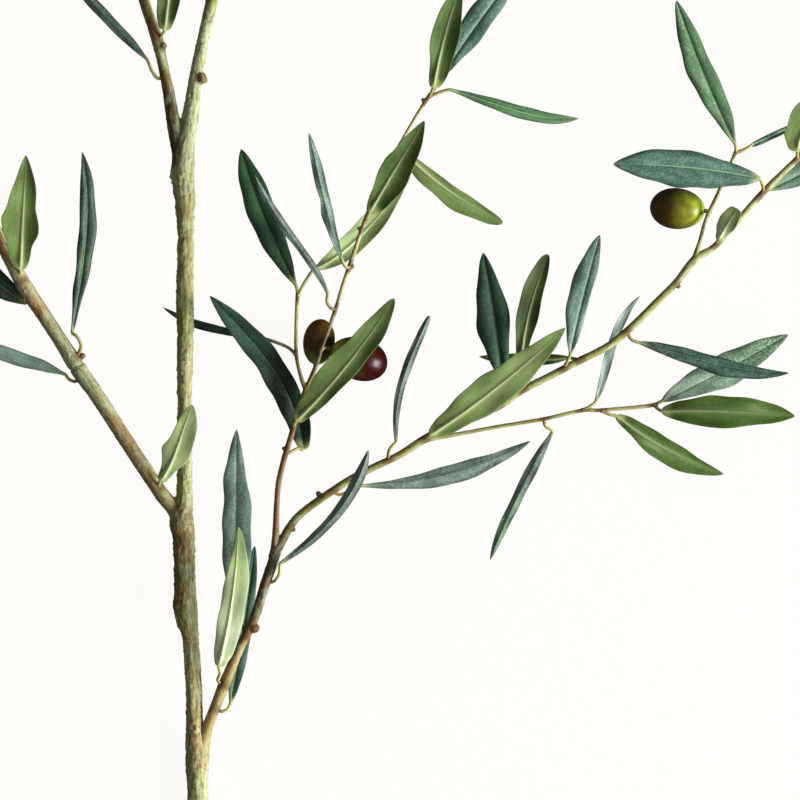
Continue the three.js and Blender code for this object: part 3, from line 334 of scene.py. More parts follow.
LONG_TWIG_LEAVES = [
    upper(GREY_GREEN, [-4.9, -24.6, 21.6],
        [[-1.6, -17.6, 24], [-0.6, 1, 25], [4.5, 17.6, 25.5], [12.4, 35.5, 25]],
        bends=[[-4.7, -21.6, 23.5], [-3.4, -19.4, 24.3]], both=[1.3, 1.7, 1.9, 1.8], tip=0.35, fold=-45,
        crown=1, bloom=0.5, rib=0),
    upper(GREY_GREEN, [-28, -38.3, 20.6],
        [[-17, -36, 20.5], [7, -34.3, 18], [31, -28.4, 14.5], [55, -17.2, 10.5]],
        bends=[[-25, -39.8, 20], [-20.5, -37.8, 20]], left=[1.8, 3.4, 4.1, 2.6],
        right=[1.9, 3.6, 4.2, 2.7], base=SLENDER, fold=-28, crown=0.9, bloom=0.5, rib=0.3),
    under(LIGHT_UNDER, [10.5, -16, 21.8], [[12.5, -14.8, 27], [40, 4.8, 32], [69.3, 30.3, 35]],
        left=[5.6, 7.9, 6.6, 4.6], right=[5, 7.2, 7.3, 5], base=0.45, fold=7),
    upper(BOTTLE_GREEN, [41, -2.8, 22], [[43.3, 9, 21], [39.2, 37, 20], [35, 62, 17]],
        left=[5.6, 7.8, 6.3, 4.1], right=[4.2, 6.2, 5.9, 3.3], fold=36, bloom=0.15, rib=0.7),
    under(DULL_UNDER, [51.5, 4.2, 22], [[50.5, 14, 22], [54.2, 37, 21.5], [62.2, 61.3, 20]],
        left=[2.9, 4.5, 5.2, 4.3], right=[2.8, 4.2, 4, 3.2], tip=0.5, rib=0.7),
    upper(PALE_TEAL, [68.5, 13.2, 21.9], [[71.5, 19, 25], [76.6, 42, 25], [84, 69.4, 22]],
        left=[3.6, 5.8, 6.3, 4.6], right=[2.3, 2.6, 3, 2.9], base=SLENDER, tip_tone=TEAL, bloom=0.6),
    under(DARK_UNDER, [75.6, 16.6, 21.8], [[70.6, 17.8, 16.5], [52, 17, 12], [33.3, 18.3, 9]], width=5.4),
    upper(DARK_BOTTLE, [95.6, 28.2, 21.2],
        [[101, 24, 21], [121, 18.3, 20.5], [142, 13.3, 19], [163.6, 11.4, 16.5]],
        bends=[[97.4, 25.3, 21.2]], left=[2.8, 3.2, 2.9, 1.7], right=[2.3, 3.5, 4.5, 3.2], fold=42,
        bloom=0.4, rib=0.3),
    under(CREAM_UNDER, [132.6, 65.5, 19.6], [[133.7, 67.4, 22], [136.8, 73, 33], [141, 80, 42]],
        left=[2.6, 4, 4.4, 3.9], right=[2.4, 3.2, 3.6, 3.3], base=0.4, tip=0.22, fold=10,
        tip_tone=PALE_UNDER),
    upper(TEAL, [152.8, 87.6, 18.3], [[151, 93, 24], [121, 97.5, 29], [89.3, 98.8, 32]],
        bends=[[152.3, 90.5, 21]], left=[5.7, 8.1, 8.4, 5.7], right=[4, 6.3, 7.1, 5.7], bloom=0.5),
    upper(GREY_TEAL, [151, 85.4, 18.2], [[155, 88.4, 13.5], [180, 101, 10], [205, 115, 5]],
        left=[5, 6.5, 6.5, 4.5], right=[4, 5.5, 6, 4.5], base=0.75, bloom=0.5),
    under(LIGHT_UNDER, [167, 101.3, 16.6], [[167, 104.5, 20.5], [173, 119.5, 31], [189, 133, 38]],
        left=[6.2, 7.8, 7, 4.6], right=[5, 7, 7, 5], base=0.3, bumps=[(-1, 0.2, 1)]),
]
LOWER_TWIG_LEAVES = [
    upper(GREY_GREEN, [60.6, -8.3, 18.8], [[64.2, -13.2, 17], [49.6, -40.8, 10], [38, -67.6, 3.5]],
        bends=[[61.2, -11, 18]], left=[2.1, 2.4, 2.2, 1.6], right=[2, 2.3, 2.1, 2.2], base=SLENDER,
        fold=-40, crown=1, tip_tone=DUSTY_GREEN, bloom=0.45, rib=0),
    upper(ASH_TEAL, [76.5, -4.4, 18],
        [[82.3, -0.8, 17.5], [86.9, 14.3, 13.5], [91.6, 29.5, 13], [101.1, 43.9, 14]],
        both=[1.6, 1.9, 1.9, 1.6], fold=-25, bloom=0.8, rib=0),
    under(GRASS_UNDER, [84.6, -4.4, 17.7], [[91, -6.8, 17], [111.3, -20.3, 14], [136.4, -31.2, 8]],
        bends=[[88, -6, 17.4]], left=[4.2, 4.5, 4.1, 2.3], right=[2.7, 5.3, 6, 4.5], base=0.45, fold=18,
        rib=0.5),
    upper(PALE_SAGE, [107, -2, 16.7], [[110.5, -0.3, 14.5], [134, 11.3, 8.5], [163.7, 27.6, 6]],
        left=[4.6, 6.1, 6.4, 4.7], right=[3.2, 6, 7.4, 4.7], fold=15, tip_tone=MID_GREEN, bloom=0.7,
        grit=1, rib=0.6),
    under(IVY_UNDER, [107, -2, 16.7], [[110, -4.6, 19], [138, -4.8, 23], [165.9, -6.8, 22]],
        left=[4.9, 6.5, 6.1, 4.8], right=[5.2, 7.4, 6.1, 4.3], base=0.5, fold=14, rib=0.45),
]
UPPER_TWIG_LEAVES = [
    upper(FRESH_GREEN, [140.9, 103.9, 23.3], [[140.7, 107.5, 25], [127.3, 136.8, 28], [115.8, 167.6, 29]],
        left=[3.4, 5.6, 6.2, 4.1], right=[4.4, 5.1, 4.5, 3.6], base=SLENDER, fold=32, bloom=0.5),
    upper(DEEP, [140.9, 103.9, 23.3], [[147, 106.5, 22.5], [158, 111.7, 17], [180, 122, 10]],
        bends=[[144.3, 105, 23]], width=2.7, fold=30),
]

# Leaves placed by rule, in opposite pairs towards a stem's growing end.
LEADER_PAIRS = dict(start=0.18, end=0.97, pairs=4, left_tip=1.5, right_tip=14, seed=11)
TOP_SHOOT_PAIRS = dict(start=0.62, end=0.97, pairs=3, left_tip=3, right_tip=24, seed=23)
LEFT_BRANCH_PAIRS = dict(start=0.84, end=0.97, pairs=3, left_tip=0.5, right_tip=15, seed=37)
LONG_TWIG_PAIRS = dict(start=0.91, end=0.985, pairs=2, left_tip=20, right_tip=0.5, seed=41)
PAIR_ANGLE = 38
PAIR_ANGLE_SHARES = (0.75, 1.15)
END_PAIR_SHARE = 0.7  # of that angle, for the pair at the end
PAIR_LENGTH = 47
PAIR_WIDTH = 12
PAIR_SIZE_SHARES = (0.9, 1.15)
PAIR_TAPER = 0.14  # how much smaller the last pair is
PAIR_PETIOLE = 6
PAIR_ARCH = 3
PAIR_SWEEP = 4  # how far the tips curve forward
PAIR_ROLL = 30
UPPER_SHARE = 0.65  # of these leaves that turn their upper face up
PAIR_UPPER_TONES = [DEEP, TEAL, GREY_TEAL]
PAIR_UNDER_TONES = [LIGHT_UNDER, OLIVE_UNDER]

# Those of them that would touch another leaf or the bark, and how far each is moved clear of it.
MOVED_CLEAR = [
    ("left_branch", 7, [0, 0, 4.5]),
    ("left_branch", 8, [-1.2, 0, 2]),
    ("leader_shoot", 0, [-1.6, 0.6, 0]),
]

# ---- the olives ----

OLIVES = [
    dict(name="olive_1", centre=[-34.2, 24.4, 8.6], axis=[0.14, 0.93, 0.3], length=20, width=13.3,
         ripened=0.12, ripe_tone="#583d14", stalk_foot=[-38.2, 7.5, 24.2]),
    dict(name="olive_2", centre=[-17.4, 17.4, 16.6], axis=[0.93, -0.31, -0.18], length=25, width=18,
         ripened=0.22, ripe_tone="#360a08", stalk_foot=[-33.2, 21, 25.3]),
    dict(name="olive_3", centre=[116.7, 80.5, 15.6], axis=[-0.99, 0.09, -0.08], length=23.2, width=17.3,
         ripened=0, ripe_tone="#4c3712", stalk_foot=[129.2, 77.5, 21.7]),
]
STALK_RADIUS = 0.7
STALK_RADII = [STALK_RADIUS, STALK_RADIUS * 0.9, STALK_RADIUS, STALK_RADIUS * 1.5]
STALK_RUN_IN = 3  # how far a stalk runs along its olive's axis before it
STALK_SINK = 0.4  # and how far into the olive


# ---- curves ----

def along_stations(stations, shares):
    """The smooth curve through evenly timed stations, in as many numbers as a station has."""
    table = np.array(stations, float)
    last = len(table) - 1
    place = np.clip(shares, 0, 1) * last
    i = np.minimum(place.astype(int), last - 1)
    f = (place - i)[:, None]
    start = table[i]
    end = table[i + 1]
    leaving = (end - table[np.maximum(i - 1, 0)]) / 2
    arriving = (table[np.minimum(i + 2, last)] - start) / 2
    step = end - start
    cubed = leaving + arriving - 2 * step
    squared = 3 * step - 2 * leaving - arriving
    return start + f * (leaving + f * (squared + f * cubed))


def through_points(points, shares):
    """The one quadratic or cubic through three or four points at even times."""
    last = len(points) - 1
    total = np.zeros((len(shares), 3))
    for i, point in enumerate(points):
        weight = np.ones(len(shares))
        for j in range(last + 1):
            if j != i:
                weight = weight * (shares * last - j) / (i - j)
        total += weight[:, None] * np.array(point, float)
    return total


def unit(arrows):
    return arrows / np.linalg.norm(arrows, axis=-1, keepdims=True)


def lengths_between(points):
    return np.linalg.norm(np.diff(points, axis=0), axis=1)


def level_frames(point_at, shares):
    """Tangents, sides and upward normals of a curve that runs more or less along the surface."""
    step = 0.01
    tangent = unit(point_at(np.minimum(shares + step, 1)) - point_at(np.maximum(shares - step, 0)))
    side = unit(np.cross(tangent, [0, 0, 1]))
    return tangent, side, np.cross(side, tangent)


def stem_frames(stations, shares):
    return level_frames(lambda t: along_stations(stations, t)[:, :3], shares)


def drawer(seed):
    """Evenly spread draws between 0 and 1, the same each time for a seed."""
    factor = 16807
    modulus = 2147483647
    state = [seed]

    def draw(low=0.0, high=1.0):
        state[0] = state[0] * factor % modulus
        return low + (high - low) * state[0] / modulus

    return draw


def paired_leaves(stations, start, end, pairs, left_tip, right_tip, seed):
    """Opposite pairs of leaves along the growing end of a stem, with a draw for each leaf's set."""
    draw = drawer(seed)
    leaves = []
    for i in range(pairs):
        t = np.array([start + (end - start) * i / (pairs - 1)])
        foot = along_stations(stations, t)[0, :3]
        tangent, side, _ = (v[0] for v in stem_frames(stations, t))
        size = 1 - PAIR_TAPER * i / (pairs - 1)
        widest = PAIR_ANGLE * (END_PAIR_SHARE if i == pairs - 1 else 1)
        for hand in (-1, 1):
            angle = math.radians(widest * draw(*PAIR_ANGLE_SHARES))
            length = PAIR_LENGTH * size * draw(*PAIR_SIZE_SHARES)
            tip_height = left_tip if hand < 0 else right_tip
            arch = draw(0, PAIR_ARCH)
            sweep = draw(0, PAIR_SWEEP)
            out = tangent * math.cos(angle) + side * hand * math.sin(angle)
            base = foot + out * PAIR_PETIOLE
            base[2] += hand
            middle = base + out * length / 2 + tangent * sweep / 3
            middle[2] = (base[2] + tip_height) / 2 + arch
            tip = base + out * length + tangent * sweep
            tip[2] = tip_height
            upwards = draw() < UPPER_SHARE
            width = PAIR_WIDTH * size * draw(*PAIR_SIZE_SHARES)
            roll = draw(-PAIR_ROLL, PAIR_ROLL)
            leaf = upper if upwards else under
            tones = PAIR_UPPER_TONES if upwards else PAIR_UNDER_TONES
            tone = tones[(i + (hand > 0)) % len(tones)]
            leaves.append(leaf(tone, foot, [base, middle, tip], width=width, roll=roll))
    return leaves


# ---- meshes ----

def vectors(x, y, z):
    """Three numbers for each point, from arrays or single numbers that go together."""
    return np.stack(np.broadcast_arrays(x, y, z), -1).reshape(-1, 3)


def placed(name, data):
    """A new object in the scene."""
    made = bpy.data.objects.new(name, data)
    bpy.context.scene.collection.objects.link(made)
    return made


def smooth_object(name, mesh):
    mesh.polygons.foreach_set("use_smooth", np.ones(len(mesh.polygons), bool))
    return placed(name, mesh)


def new_object(name, points, faces, materials, indices=None):
    """A smooth mesh object in the frame's metres."""
    mesh = bpy.data.meshes.new(name)
    mesh.from_pydata(world(points).tolist(), [], faces)
    mesh.update()
    for material in materials:
        mesh.materials.append(material)
    if indices is not None:
        mesh.polygons.foreach_set("material_index", np.asarray(indices, np.int32))
    return smooth_object(name, mesh)


def set_attributes(piece, tone, **others):
    """What the materials read at each point: its tone, and three numbers under each other name."""
    made = piece.data.attributes.new("tone", "FLOAT_COLOR", "POINT")
    rgba = np.hstack([tone, np.ones((len(tone), 1))])
    made.data.foreach_set("color", rgba.astype(np.float32).ravel())
    for name, values in others.items():
        made = piece.data.attributes.new(name, "FLOAT_VECTOR", "POINT")
        made.data.foreach_set("vector", values.astype(np.float32).ravel())


def ring_faces(rings, size, start):
    """Quads between neighbouring rings of points."""
    i, k = np.meshgrid(np.arange(rings - 1), np.arange(size), indexing="ij")
    a = start + i * size + k
    b = start + i * size + (k + 1) % size
    return np.stack([a, b, b + size, a + size], -1).reshape(-1, 4)


# ---- leaves ----

MARGIN_SHARES = [0.2, 0.4, 0.6, 0.8]
BASE_POWER = 0.6
TIP_POWER = 0.75
UPPER_FOLD = 25  # slope beside the midrib, in degrees, of a leaf that shows its upper face
UNDER_FOLD = 32  # slope at the margins of a leaf that shows its under face
CROWN = 0.55  # where each half of an upper face is highest, from midrib to margin
CHANNEL = 40  # how far the blade closes round its midrib where it starts, in degrees
CHANNEL_LENGTH = 5.0
CHANNEL_START = (-2.0, 1.0)  # where it sets in, from the blade's start
BASE_HALF_WIDTH = 0.7
TIP_HALF_WIDTH = 0.15
HALF_THICKNESS = 0.19  # of the blade, from its middle sheet to a face
RIB_HEIGHT = 0.7  # of the midrib, on the under side at the base
RIB_WIDTH = 0.85
RIB_FADE = 0.8  # a power of 1 - t: the midrib sinks towards the tip
RIB_NARROWING = 1.05  # less t: it narrows as well
EDGE_POWER = 10  # the larger, the later a blade thins towards its margins
GROOVE_DEPTH = 0.25  # along the midrib on the upper side
GROOVE_WIDTH = 0.4
GROOVE_FADE = 0.5
WAVE_HEIGHT = 0.5  # of the margins, up and down
WAVE_LENGTH = 21
WAVE_RATES = [1.3, 1.1, 1, 0.9]  # left and right margin in and out, then both up and down
CALM_START = 12  # how far from the base, and from the tip, the margins wave less
CALM_END = 8
OUTLINE_WAVE = 0.04  # of the margins, in and out, as a share of the width
BUMP_LENGTH = 0.07  # of a bump or a notch in a margin, as a share of the blade's length
PETIOLE_RADIUS = 0.7
PETIOLE_KNEE = 0.55  # where along the petiole it bends, as a share
PETIOLE_BEND = 0.6  # how far the bend lies back from the blade
COLLAR = 0.45  # how much thicker the petiole is where it leaves the stem
COLLAR_LENGTH = 0.12  # how soon that is gone, as a share of the petiole
PETIOLE_AHEAD = 0.04  # how far ahead its direction is read, as a share
FLATTENING = 5.0  # how far into the blade the petiole's round section is gone
GREENING = (0.1, 0.75)  # where a petiole turns green, as shares of it
LEAFING = (-1.5, 6.0)  # where it takes on the leaf's tone, from the blade's start
TIP_TONING = (0.2, 0.85)  # where a blade takes on its tip_tone, as shares of it
LOOK = dict(bloom=0.25, grit=0.5, rib=1)
LEAF_SEED = 1000
LEAF_SEED_STEP = 77
PATTERN_STEP = 37.0  # sets one leaf's pattern apart from the next one's

BLADE_RINGS = 52
PETIOLE_RINGS = 12
LEAF_RINGS = PETIOLE_RINGS + BLADE_RINGS

# A section runs from -1 at the left margin to 1 at the right one over the top, and back underneath.
ACROSS = [0, 0.045, 0.095, 0.16, 0.25, 0.36, 0.5, 0.64, 0.77, 0.88, 0.96, 1]
TOP_SECTION = np.array([-share for share in ACROSS[:0:-1]] + ACROSS)
SECTION = np.concatenate([TOP_SECTION, TOP_SECTION[-2:0:-1]])
SECTION_UP = np.where(np.arange(len(SECTION)) < len(TOP_SECTION), 1, -1)
OUT_SHARE = np.abs(SECTION)


def outline_at(t, base_power, tip_power):
    """How wide a blade is at t, as a share of its greatest width: a lanceolate outline."""
    widest = base_power / (base_power + tip_power)
    top = widest ** base_power * (1 - widest) ** tip_power
    return t ** base_power * (1 - t) ** tip_power / top


def margin_reach(leaf, t, hand):
    """How far a margin stands from the midrib at t: hand is -1 for the left side, 1 for the right."""
    powers = (leaf.get("base", BASE_POWER), leaf.get("tip", TIP_POWER))
    outline = outline_at(np.clip(t, 1e-4, 1), *powers)
    if "width" in leaf:
        return leaf["width"] / 2 * outline
    given = leaf.get("both") or leaf["left" if hand < 0 else "right"]
    fullness = np.array(given) / outline_at(np.array(MARGIN_SHARES), *powers)
    stations = [[v] for v in (fullness[0], *fullness, fullness[-1])]
    return outline * along_stations(stations, t)[:, 0]


def petiole_curve(leaf, tangent, shares):
    """From the stem, round a knee or through the points given, into the start of the blade."""
    foot = np.array(leaf["foot"], float)
    base = np.array(leaf["midrib"][0], float)
    knee = foot + (base - foot) * PETIOLE_KNEE - tangent * PETIOLE_BEND
    bends = leaf.get("bends", [knee])
    before = foot * 1.5 - np.array(bends[0]) * 0.5
    stations = [before, foot, *bends, base, base + tangent * 2]
    last = len(stations) - 1
    return along_stations(stations, (1 + (last - 2) * shares) / last)


def blade_rings(leaf):
    """Places, sides, normals and shares of a blade's rings, and the way that it starts out."""
    def point_at(shares):
        return through_points(leaf["midrib"], shares)

    u = np.linspace(0, 1, BLADE_RINGS)
    t = 0.5 * u + 0.25 * (1 - np.cos(np.pi * u))
    tangent, side, normal = level_frames(point_at, t)
    turn = math.radians(leaf.get("roll", 0) + (180 if leaf["face"] == "under" else 0))
    rolled_side = side * math.cos(turn) - normal * math.sin(turn)
    rolled_normal = normal * math.cos(turn) + side * math.sin(turn)
    return point_at(t), rolled_side, rolled_normal, t, tangent[0]


def petiole_rings(leaf, blade_tangent, blade_side):
    """The same of its petiole, whose sides follow from the blade's, one ring after another."""
    share = np.linspace(0, 1, PETIOLE_RINGS, endpoint=False)
    place = petiole_curve(leaf, blade_tangent, share)
    tangent = unit(petiole_curve(leaf, blade_tangent, share + PETIOLE_AHEAD) - place)
    side = np.zeros_like(place)
    last = blade_side
    for i in range(PETIOLE_RINGS - 1, -1, -1):
        last = unit(last - tangent[i] * np.dot(last, tangent[i]))
        side[i] = last
    return place, side, np.cross(side, tangent), share


def leaf_rings(leaf):
    """The rings of a petiole and its blade: along is in millimetres from where the blade starts."""
    place, side, normal, t, tangent = blade_rings(leaf)
    stalk, stalk_side, stalk_normal, share = petiole_rings(leaf, tangent, side[0])
    stalk_length = lengths_between(np.vstack([stalk, place[:1]])).sum()
    length = lengths_between(place).sum()
    return SimpleNamespace(
        place=np.vstack([stalk, place])[:, None],
        side=np.vstack([stalk_side, side])[:, None],
        normal=np.vstack([stalk_normal, normal])[:, None],
        t=np.concatenate([np.zeros(PETIOLE_RINGS), t])[:, None],
        along=np.concatenate([(share - 1) * stalk_length, t * length])[:, None],
        stalk_share=np.concatenate([share, np.ones(BLADE_RINGS)])[:, None],
        length=length,
    )


def margin_waves(number, rings, left):
    """How the margins wave in and out, and up and down, each side in its own way, between calm ends."""
    draw = drawer(LEAF_SEED + LEAF_SEED_STEP * number)
    turns = 2 * math.pi * rings.along / WAVE_LENGTH
    waves = [np.sin(turns * rate + draw(0, 2 * math.pi)) for rate in WAVE_RATES]
    calm = ease(0, CALM_START, rings.along) * ease(0, CALM_END, rings.length - rings.along)
    return np.where(left, waves[0], waves[1]) * calm, np.where(left, waves[2], waves[3]) * calm


def leaf_reach(leaf, rings, left, stalk_radius, sway):
    """How far each side of each ring reaches from its middle."""
    t = rings.t
    left_reach, right_reach = (margin_reach(leaf, t[:, 0], hand)[:, None] for hand in (-1, 1))
    half_end = BASE_HALF_WIDTH + (TIP_HALF_WIDTH - BASE_HALF_WIDTH) * t
    blade = np.sqrt(np.where(left, left_reach, right_reach) ** 2 + half_end ** 2 * (1 - t))
    reach = np.where(rings.along < 0, stalk_radius, blade) * (1 + OUTLINE_WAVE * sway)
    for hand, at, amount in leaf.get("bumps", []):
        near = np.exp(-((t - at) / BUMP_LENGTH) ** 2)
        reach = reach + np.where(left == (hand < 0), amount * near, 0)
    return reach


def face_rise(leaf, reach):
    """An upper face has a crowned half on each side of its groove. An under face is a shallow bowl."""
    if leaf["face"] == "under":
        return -math.tan(math.radians(leaf.get("fold", UNDER_FOLD))) * reach * OUT_SHARE ** 2 / 2
    crown = leaf.get("crown", CROWN)
    slope = math.tan(math.radians(leaf.get("fold", UPPER_FOLD)))
    return slope * reach * (OUT_SHARE - OUT_SHARE ** 2 / (2 * crown))


def half_height(t, x, flat, stalk_radius):
    """From the middle sheet to a face: a thin blade with a midrib and a groove, or a round petiole."""
    closing = np.sqrt(1 - OUT_SHARE ** EDGE_POWER)
    rib = RIB_HEIGHT * (1 - t) ** RIB_FADE * np.exp(-(x / (RIB_WIDTH * (RIB_NARROWING - t))) ** 2)
    groove = GROOVE_DEPTH * (1 - t) ** GROOVE_FADE * np.exp(-(x / GROOVE_WIDTH) ** 2)
    blade = closing * np.where(SECTION_UP > 0, HALF_THICKNESS - groove, HALF_THICKNESS + rib)
    return blade * flat + np.sqrt(1 - OUT_SHARE ** 2) * stalk_radius * (1 - flat)


def leaf_points(leaf, number, rings):
    """The points of a leaf, ring by ring, and how far each lies from the midrib."""
    left = (SECTION < 0) != (leaf["face"] == "under")
    stalk_radius = PETIOLE_RADIUS * (1 + COLLAR * np.exp(-rings.stalk_share / COLLAR_LENGTH))
    sway, wave = margin_waves(number, rings, left)
    reach = leaf_reach(leaf, rings, left, stalk_radius, sway)
    x = SECTION * reach
    flat = ease(0.0, FLATTENING, rings.along)
    channel = math.radians(CHANNEL) * np.exp(-np.maximum(rings.along, 0) / CHANNEL_LENGTH)
    channel = channel * ease(*CHANNEL_START, rings.along)
    lift = (face_rise(leaf, reach) * np.cos(channel) + np.abs(x) * np.sin(channel)) * flat
    lift = lift + WAVE_HEIGHT * wave * OUT_SHARE ** 2
    across = x * (1 - flat * (1 - np.cos(channel)))
    height = lift + SECTION_UP * half_height(rings.t, x, flat, stalk_radius)
    points = rings.place + rings.side * across[:, :, None] + rings.normal * height[:, :, None]
    return points.reshape(-1, 3), x


def leaf_tones(leaf, rings):
    """From brown at the stem to green by the blade, and on into the leaf's own tone."""
    base = colour(leaf["tone"])
    tip = colour(leaf.get("tip_tone", leaf["tone"]))
    green = colour(PETIOLE_GREEN)
    brown = colour(leaf.get("stalk", PETIOLE_BROWN))
    blade = base + (tip - base) * ease(*TIP_TONING, rings.t)
    stalk = brown + (green - brown) * ease(*GREENING, rings.stalk_share)
    leafy = ease(*LEAFING, rings.along)
    return np.repeat(stalk * (1 - leafy) + blade * leafy, len(SECTION), axis=0)


def leaf_faces():
    """The faces of one leaf and the material of each: 0 upper face, 1 under face, 2 petiole."""
    size = len(SECTION)
    ring = np.repeat(np.arange(LEAF_RINGS - 1), size)
    k = np.tile(np.arange(size), LEAF_RINGS - 1)
    materials = np.where(ring < PETIOLE_RINGS, 2, np.where(k < len(TOP_SECTION) - 1, 0, 1)).tolist()
    foot = list(range(size))[::-1]
    tip = list(range((LEAF_RINGS - 1) * size, LEAF_RINGS * size))
    return ring_faces(LEAF_RINGS, size, 0).tolist() + [foot, tip], materials + [2, 0]


def leaves_piece(name, leaves, first_number, materials):
    """All the leaves of one stem, as one piece, with what their materials read at each point."""
    one_leaf, one_leaf_materials = leaf_faces()
    faces = []
    places = []
    parts = dict(tone=[], blade=[], share=[], look=[])
    for i, leaf in enumerate(leaves):
        number = first_number + i
        rings = leaf_rings(leaf)
        points, x = leaf_points(leaf, number, rings)
        faces += [[v + i * len(points) for v in face] for face in one_leaf]
        places.append(points)
        parts["tone"].append(leaf_tones(leaf, rings))
        parts["blade"].append(vectors(x, rings.along, PATTERN_STEP * number))
        parts["share"].append(vectors(SECTION, rings.t, 0))
        look = [leaf.get(key, usual) for key, usual in LOOK.items()]
        parts["look"].append(np.tile(look, (len(points), 1)))
    piece = new_object(name, np.vstack(places), faces, materials, one_leaf_materials * len(leaves))
    set_attributes(piece, **{key: np.vstack(values) for key, values in parts.items()})
    return piece


# ---- wood ----

TUBE_SIDES = 20
TUBE_STEP = 1.2  # between the rings of a tube
TUBE_SAMPLES = 200  # to measure its length by
BALL_RINGS = 7
BALL_END = 0.15  # how far a ball's end rings stand from its poles, in radians
FLARE = 0.4  # how much thicker a side stem is where it starts
FLARE_LENGTH = 1.7  # how soon that is gone, in radii
BARK_VOXEL = 0.48
TWIG_VOXEL = 0.34
SMOOTHING = 3  # rounds, after the remesh
BARK_REGROWTH = 0.03  # what remesh and smoothing took away
TWIG_REGROWTH = 0.05
AXIS_SAMPLES = 300  # of a stem, to measure its length by
AXIS_STEP = 0.5  # between the samples that a point of the bark can belong to
NODE_SWELLING = 1.25  # of the little cushion under each petiole, in petiole radii
NODE_REACH = 4.0  # how far a joint's colour reaches
CUT_DEPTH = 0.05  # how far before the first station the main stem counts as its cut
FLOOR_CLEARANCE = 0.02  # of the lowest bark
SPREAD_ROUNDS = 24  # how often the colours of the bark are averaged over neighbours
STEM_STEP = 500  # sets one stem's bark pattern apart from the next one's
RIDGE_STEP = 31  # and its ridges
RIDGE_SCALE = 0.9  # how fine the ridges are across the stem, per millimetre
RIDGE_RUN = 0.14  # and along it
RIDGE_HEIGHT = 0.8  # these heights are in parts of the stem's relief
LUMP_SCALE = 0.4
LUMP_HEIGHT = 0.7
SPECK_SCALE = 0.75
SPECK_START = 0.2  # of the noise: only what is above it is a speck
SPECK_HEIGHT = 2.3
SPECK_SHIFT = Vector((9, 4, 2))

SPIN = np.linspace(0, 2 * math.pi, TUBE_SIDES, endpoint=False)  # round a tube, in radians


def lengths_along(stations, samples):
    """How far along a stem each of some evenly timed samples lies, in millimetres."""
    places = along_stations(stations, np.linspace(0, 1, samples))[:, :3]
    return np.concatenate([[0], np.cumsum(lengths_between(places))])


def tube(stations, flare=False):
    """Rings round a stem: its points, and the number of rings."""
    length = lengths_along(stations, TUBE_SAMPLES)[-1]
    rings = max(4, int(length / TUBE_STEP))
    shares = np.linspace(0, 1, rings)
    at = along_stations(stations, shares)
    _, side, normal = stem_frames(stations, shares)
    radius = at[:, 3]
    if flare:
        radius = radius * (1 + FLARE * np.exp(-shares * length / (FLARE_LENGTH * radius[0])))
    spoke = side[:, None] * np.cos(SPIN)[:, None] + normal[:, None] * np.sin(SPIN)[:, None]
    return (at[:, None, :3] + spoke * radius[:, None, None]).reshape(-1, 3), rings


def ball(centre, radius):
    """A small round swelling, as a tube of growing and shrinking rings."""
    polar = np.linspace(BALL_END, math.pi - BALL_END, BALL_RINGS)[:, None]
    points = vectors(np.sin(polar) * np.cos(SPIN), np.sin(polar) * np.sin(SPIN), -np.cos(polar))
    return np.array(centre) + points * radius, BALL_RINGS


def fused(name, parts, voxel):
    """One smooth skin round overlapping tubes, by a voxel remesh."""
    points = []
    faces = []
    start = 0
    for tube_points, rings in parts:
        points.append(tube_points)
        faces += ring_faces(rings, TUBE_SIDES, start)[:, ::-1].tolist()
        end = start + (rings - 1) * TUBE_SIDES
        faces.append(list(range(start, start + TUBE_SIDES)))
        faces.append(list(range(end, end + TUBE_SIDES))[::-1])
        start = end + TUBE_SIDES
    rough = new_object(name + "_rough", np.vstack(points), faces, [])
    remesh = rough.modifiers.new("skin", "REMESH")
    remesh.mode = "VOXEL"
    remesh.voxel_size = voxel * MM
    smooth = rough.modifiers.new("smooth", "SMOOTH")
    smooth.factor = 0.5
    smooth.iterations = SMOOTHING
    evaluated = rough.evaluated_get(bpy.context.evaluated_depsgraph_get())
    mesh = bpy.data.meshes.new_from_object(evaluated)
    bpy.data.objects.remove(rough)
    mesh.name = name
    return smooth_object(name, mesh)


def stop_colours(stops, shares):
    """The colours at shares of a stem, between those of its stops."""
    at, codes = zip(*stops)
    table = np.array([colour(code) for code in codes])
    return np.stack([np.interp(shares, at, channel) for channel in table.T], -1)


def axis_samples(stems):
    """Close samples of the stems: place, frame, length so far, stem, share, radius and colour."""
    rows = []
    for number, (stations, stops, _) in enumerate(stems):
        lengths = lengths_along(stations, AXIS_SAMPLES)
        at_length = np.linspace(0, lengths[-1], int(lengths[-1] / AXIS_STEP) + 2)
        times = np.interp(at_length, lengths, np.linspace(0, 1, AXIS_SAMPLES))
        at = along_stations(stations, times)
        shares = at_length / lengths[-1]
        rows += zip(at[:, :3], *stem_frames(stations, times), at_length, [number] * len(at), shares,
                    at[:, 3], stop_colours(stops, shares))
    return rows


def finder(places):
    """A tree that finds the nearest of some places."""
    tree = kdtree.KDTree(len(places))
    for i, place in enumerate(places):
        tree.insert(Vector(place), i)
    tree.balance()
    return tree


def spread_over(mesh, values):
    """Averages values at the points of a mesh with their neighbours, in place, a number of times."""
    edges = np.empty(len(mesh.edges) * 2, np.int32)
    mesh.edges.foreach_get("vertices", edges)
    a, b = edges.reshape(-1, 2).T
    count = len(mesh.vertices)
    ties = 1 + np.bincount(a, minlength=count) + np.bincount(b, minlength=count)
    for _ in range(SPREAD_ROUNDS):
        for column in values.T:
            around = np.bincount(a, column[b], count) + np.bincount(b, column[a], count)
            column[:] = (column + around) / ties


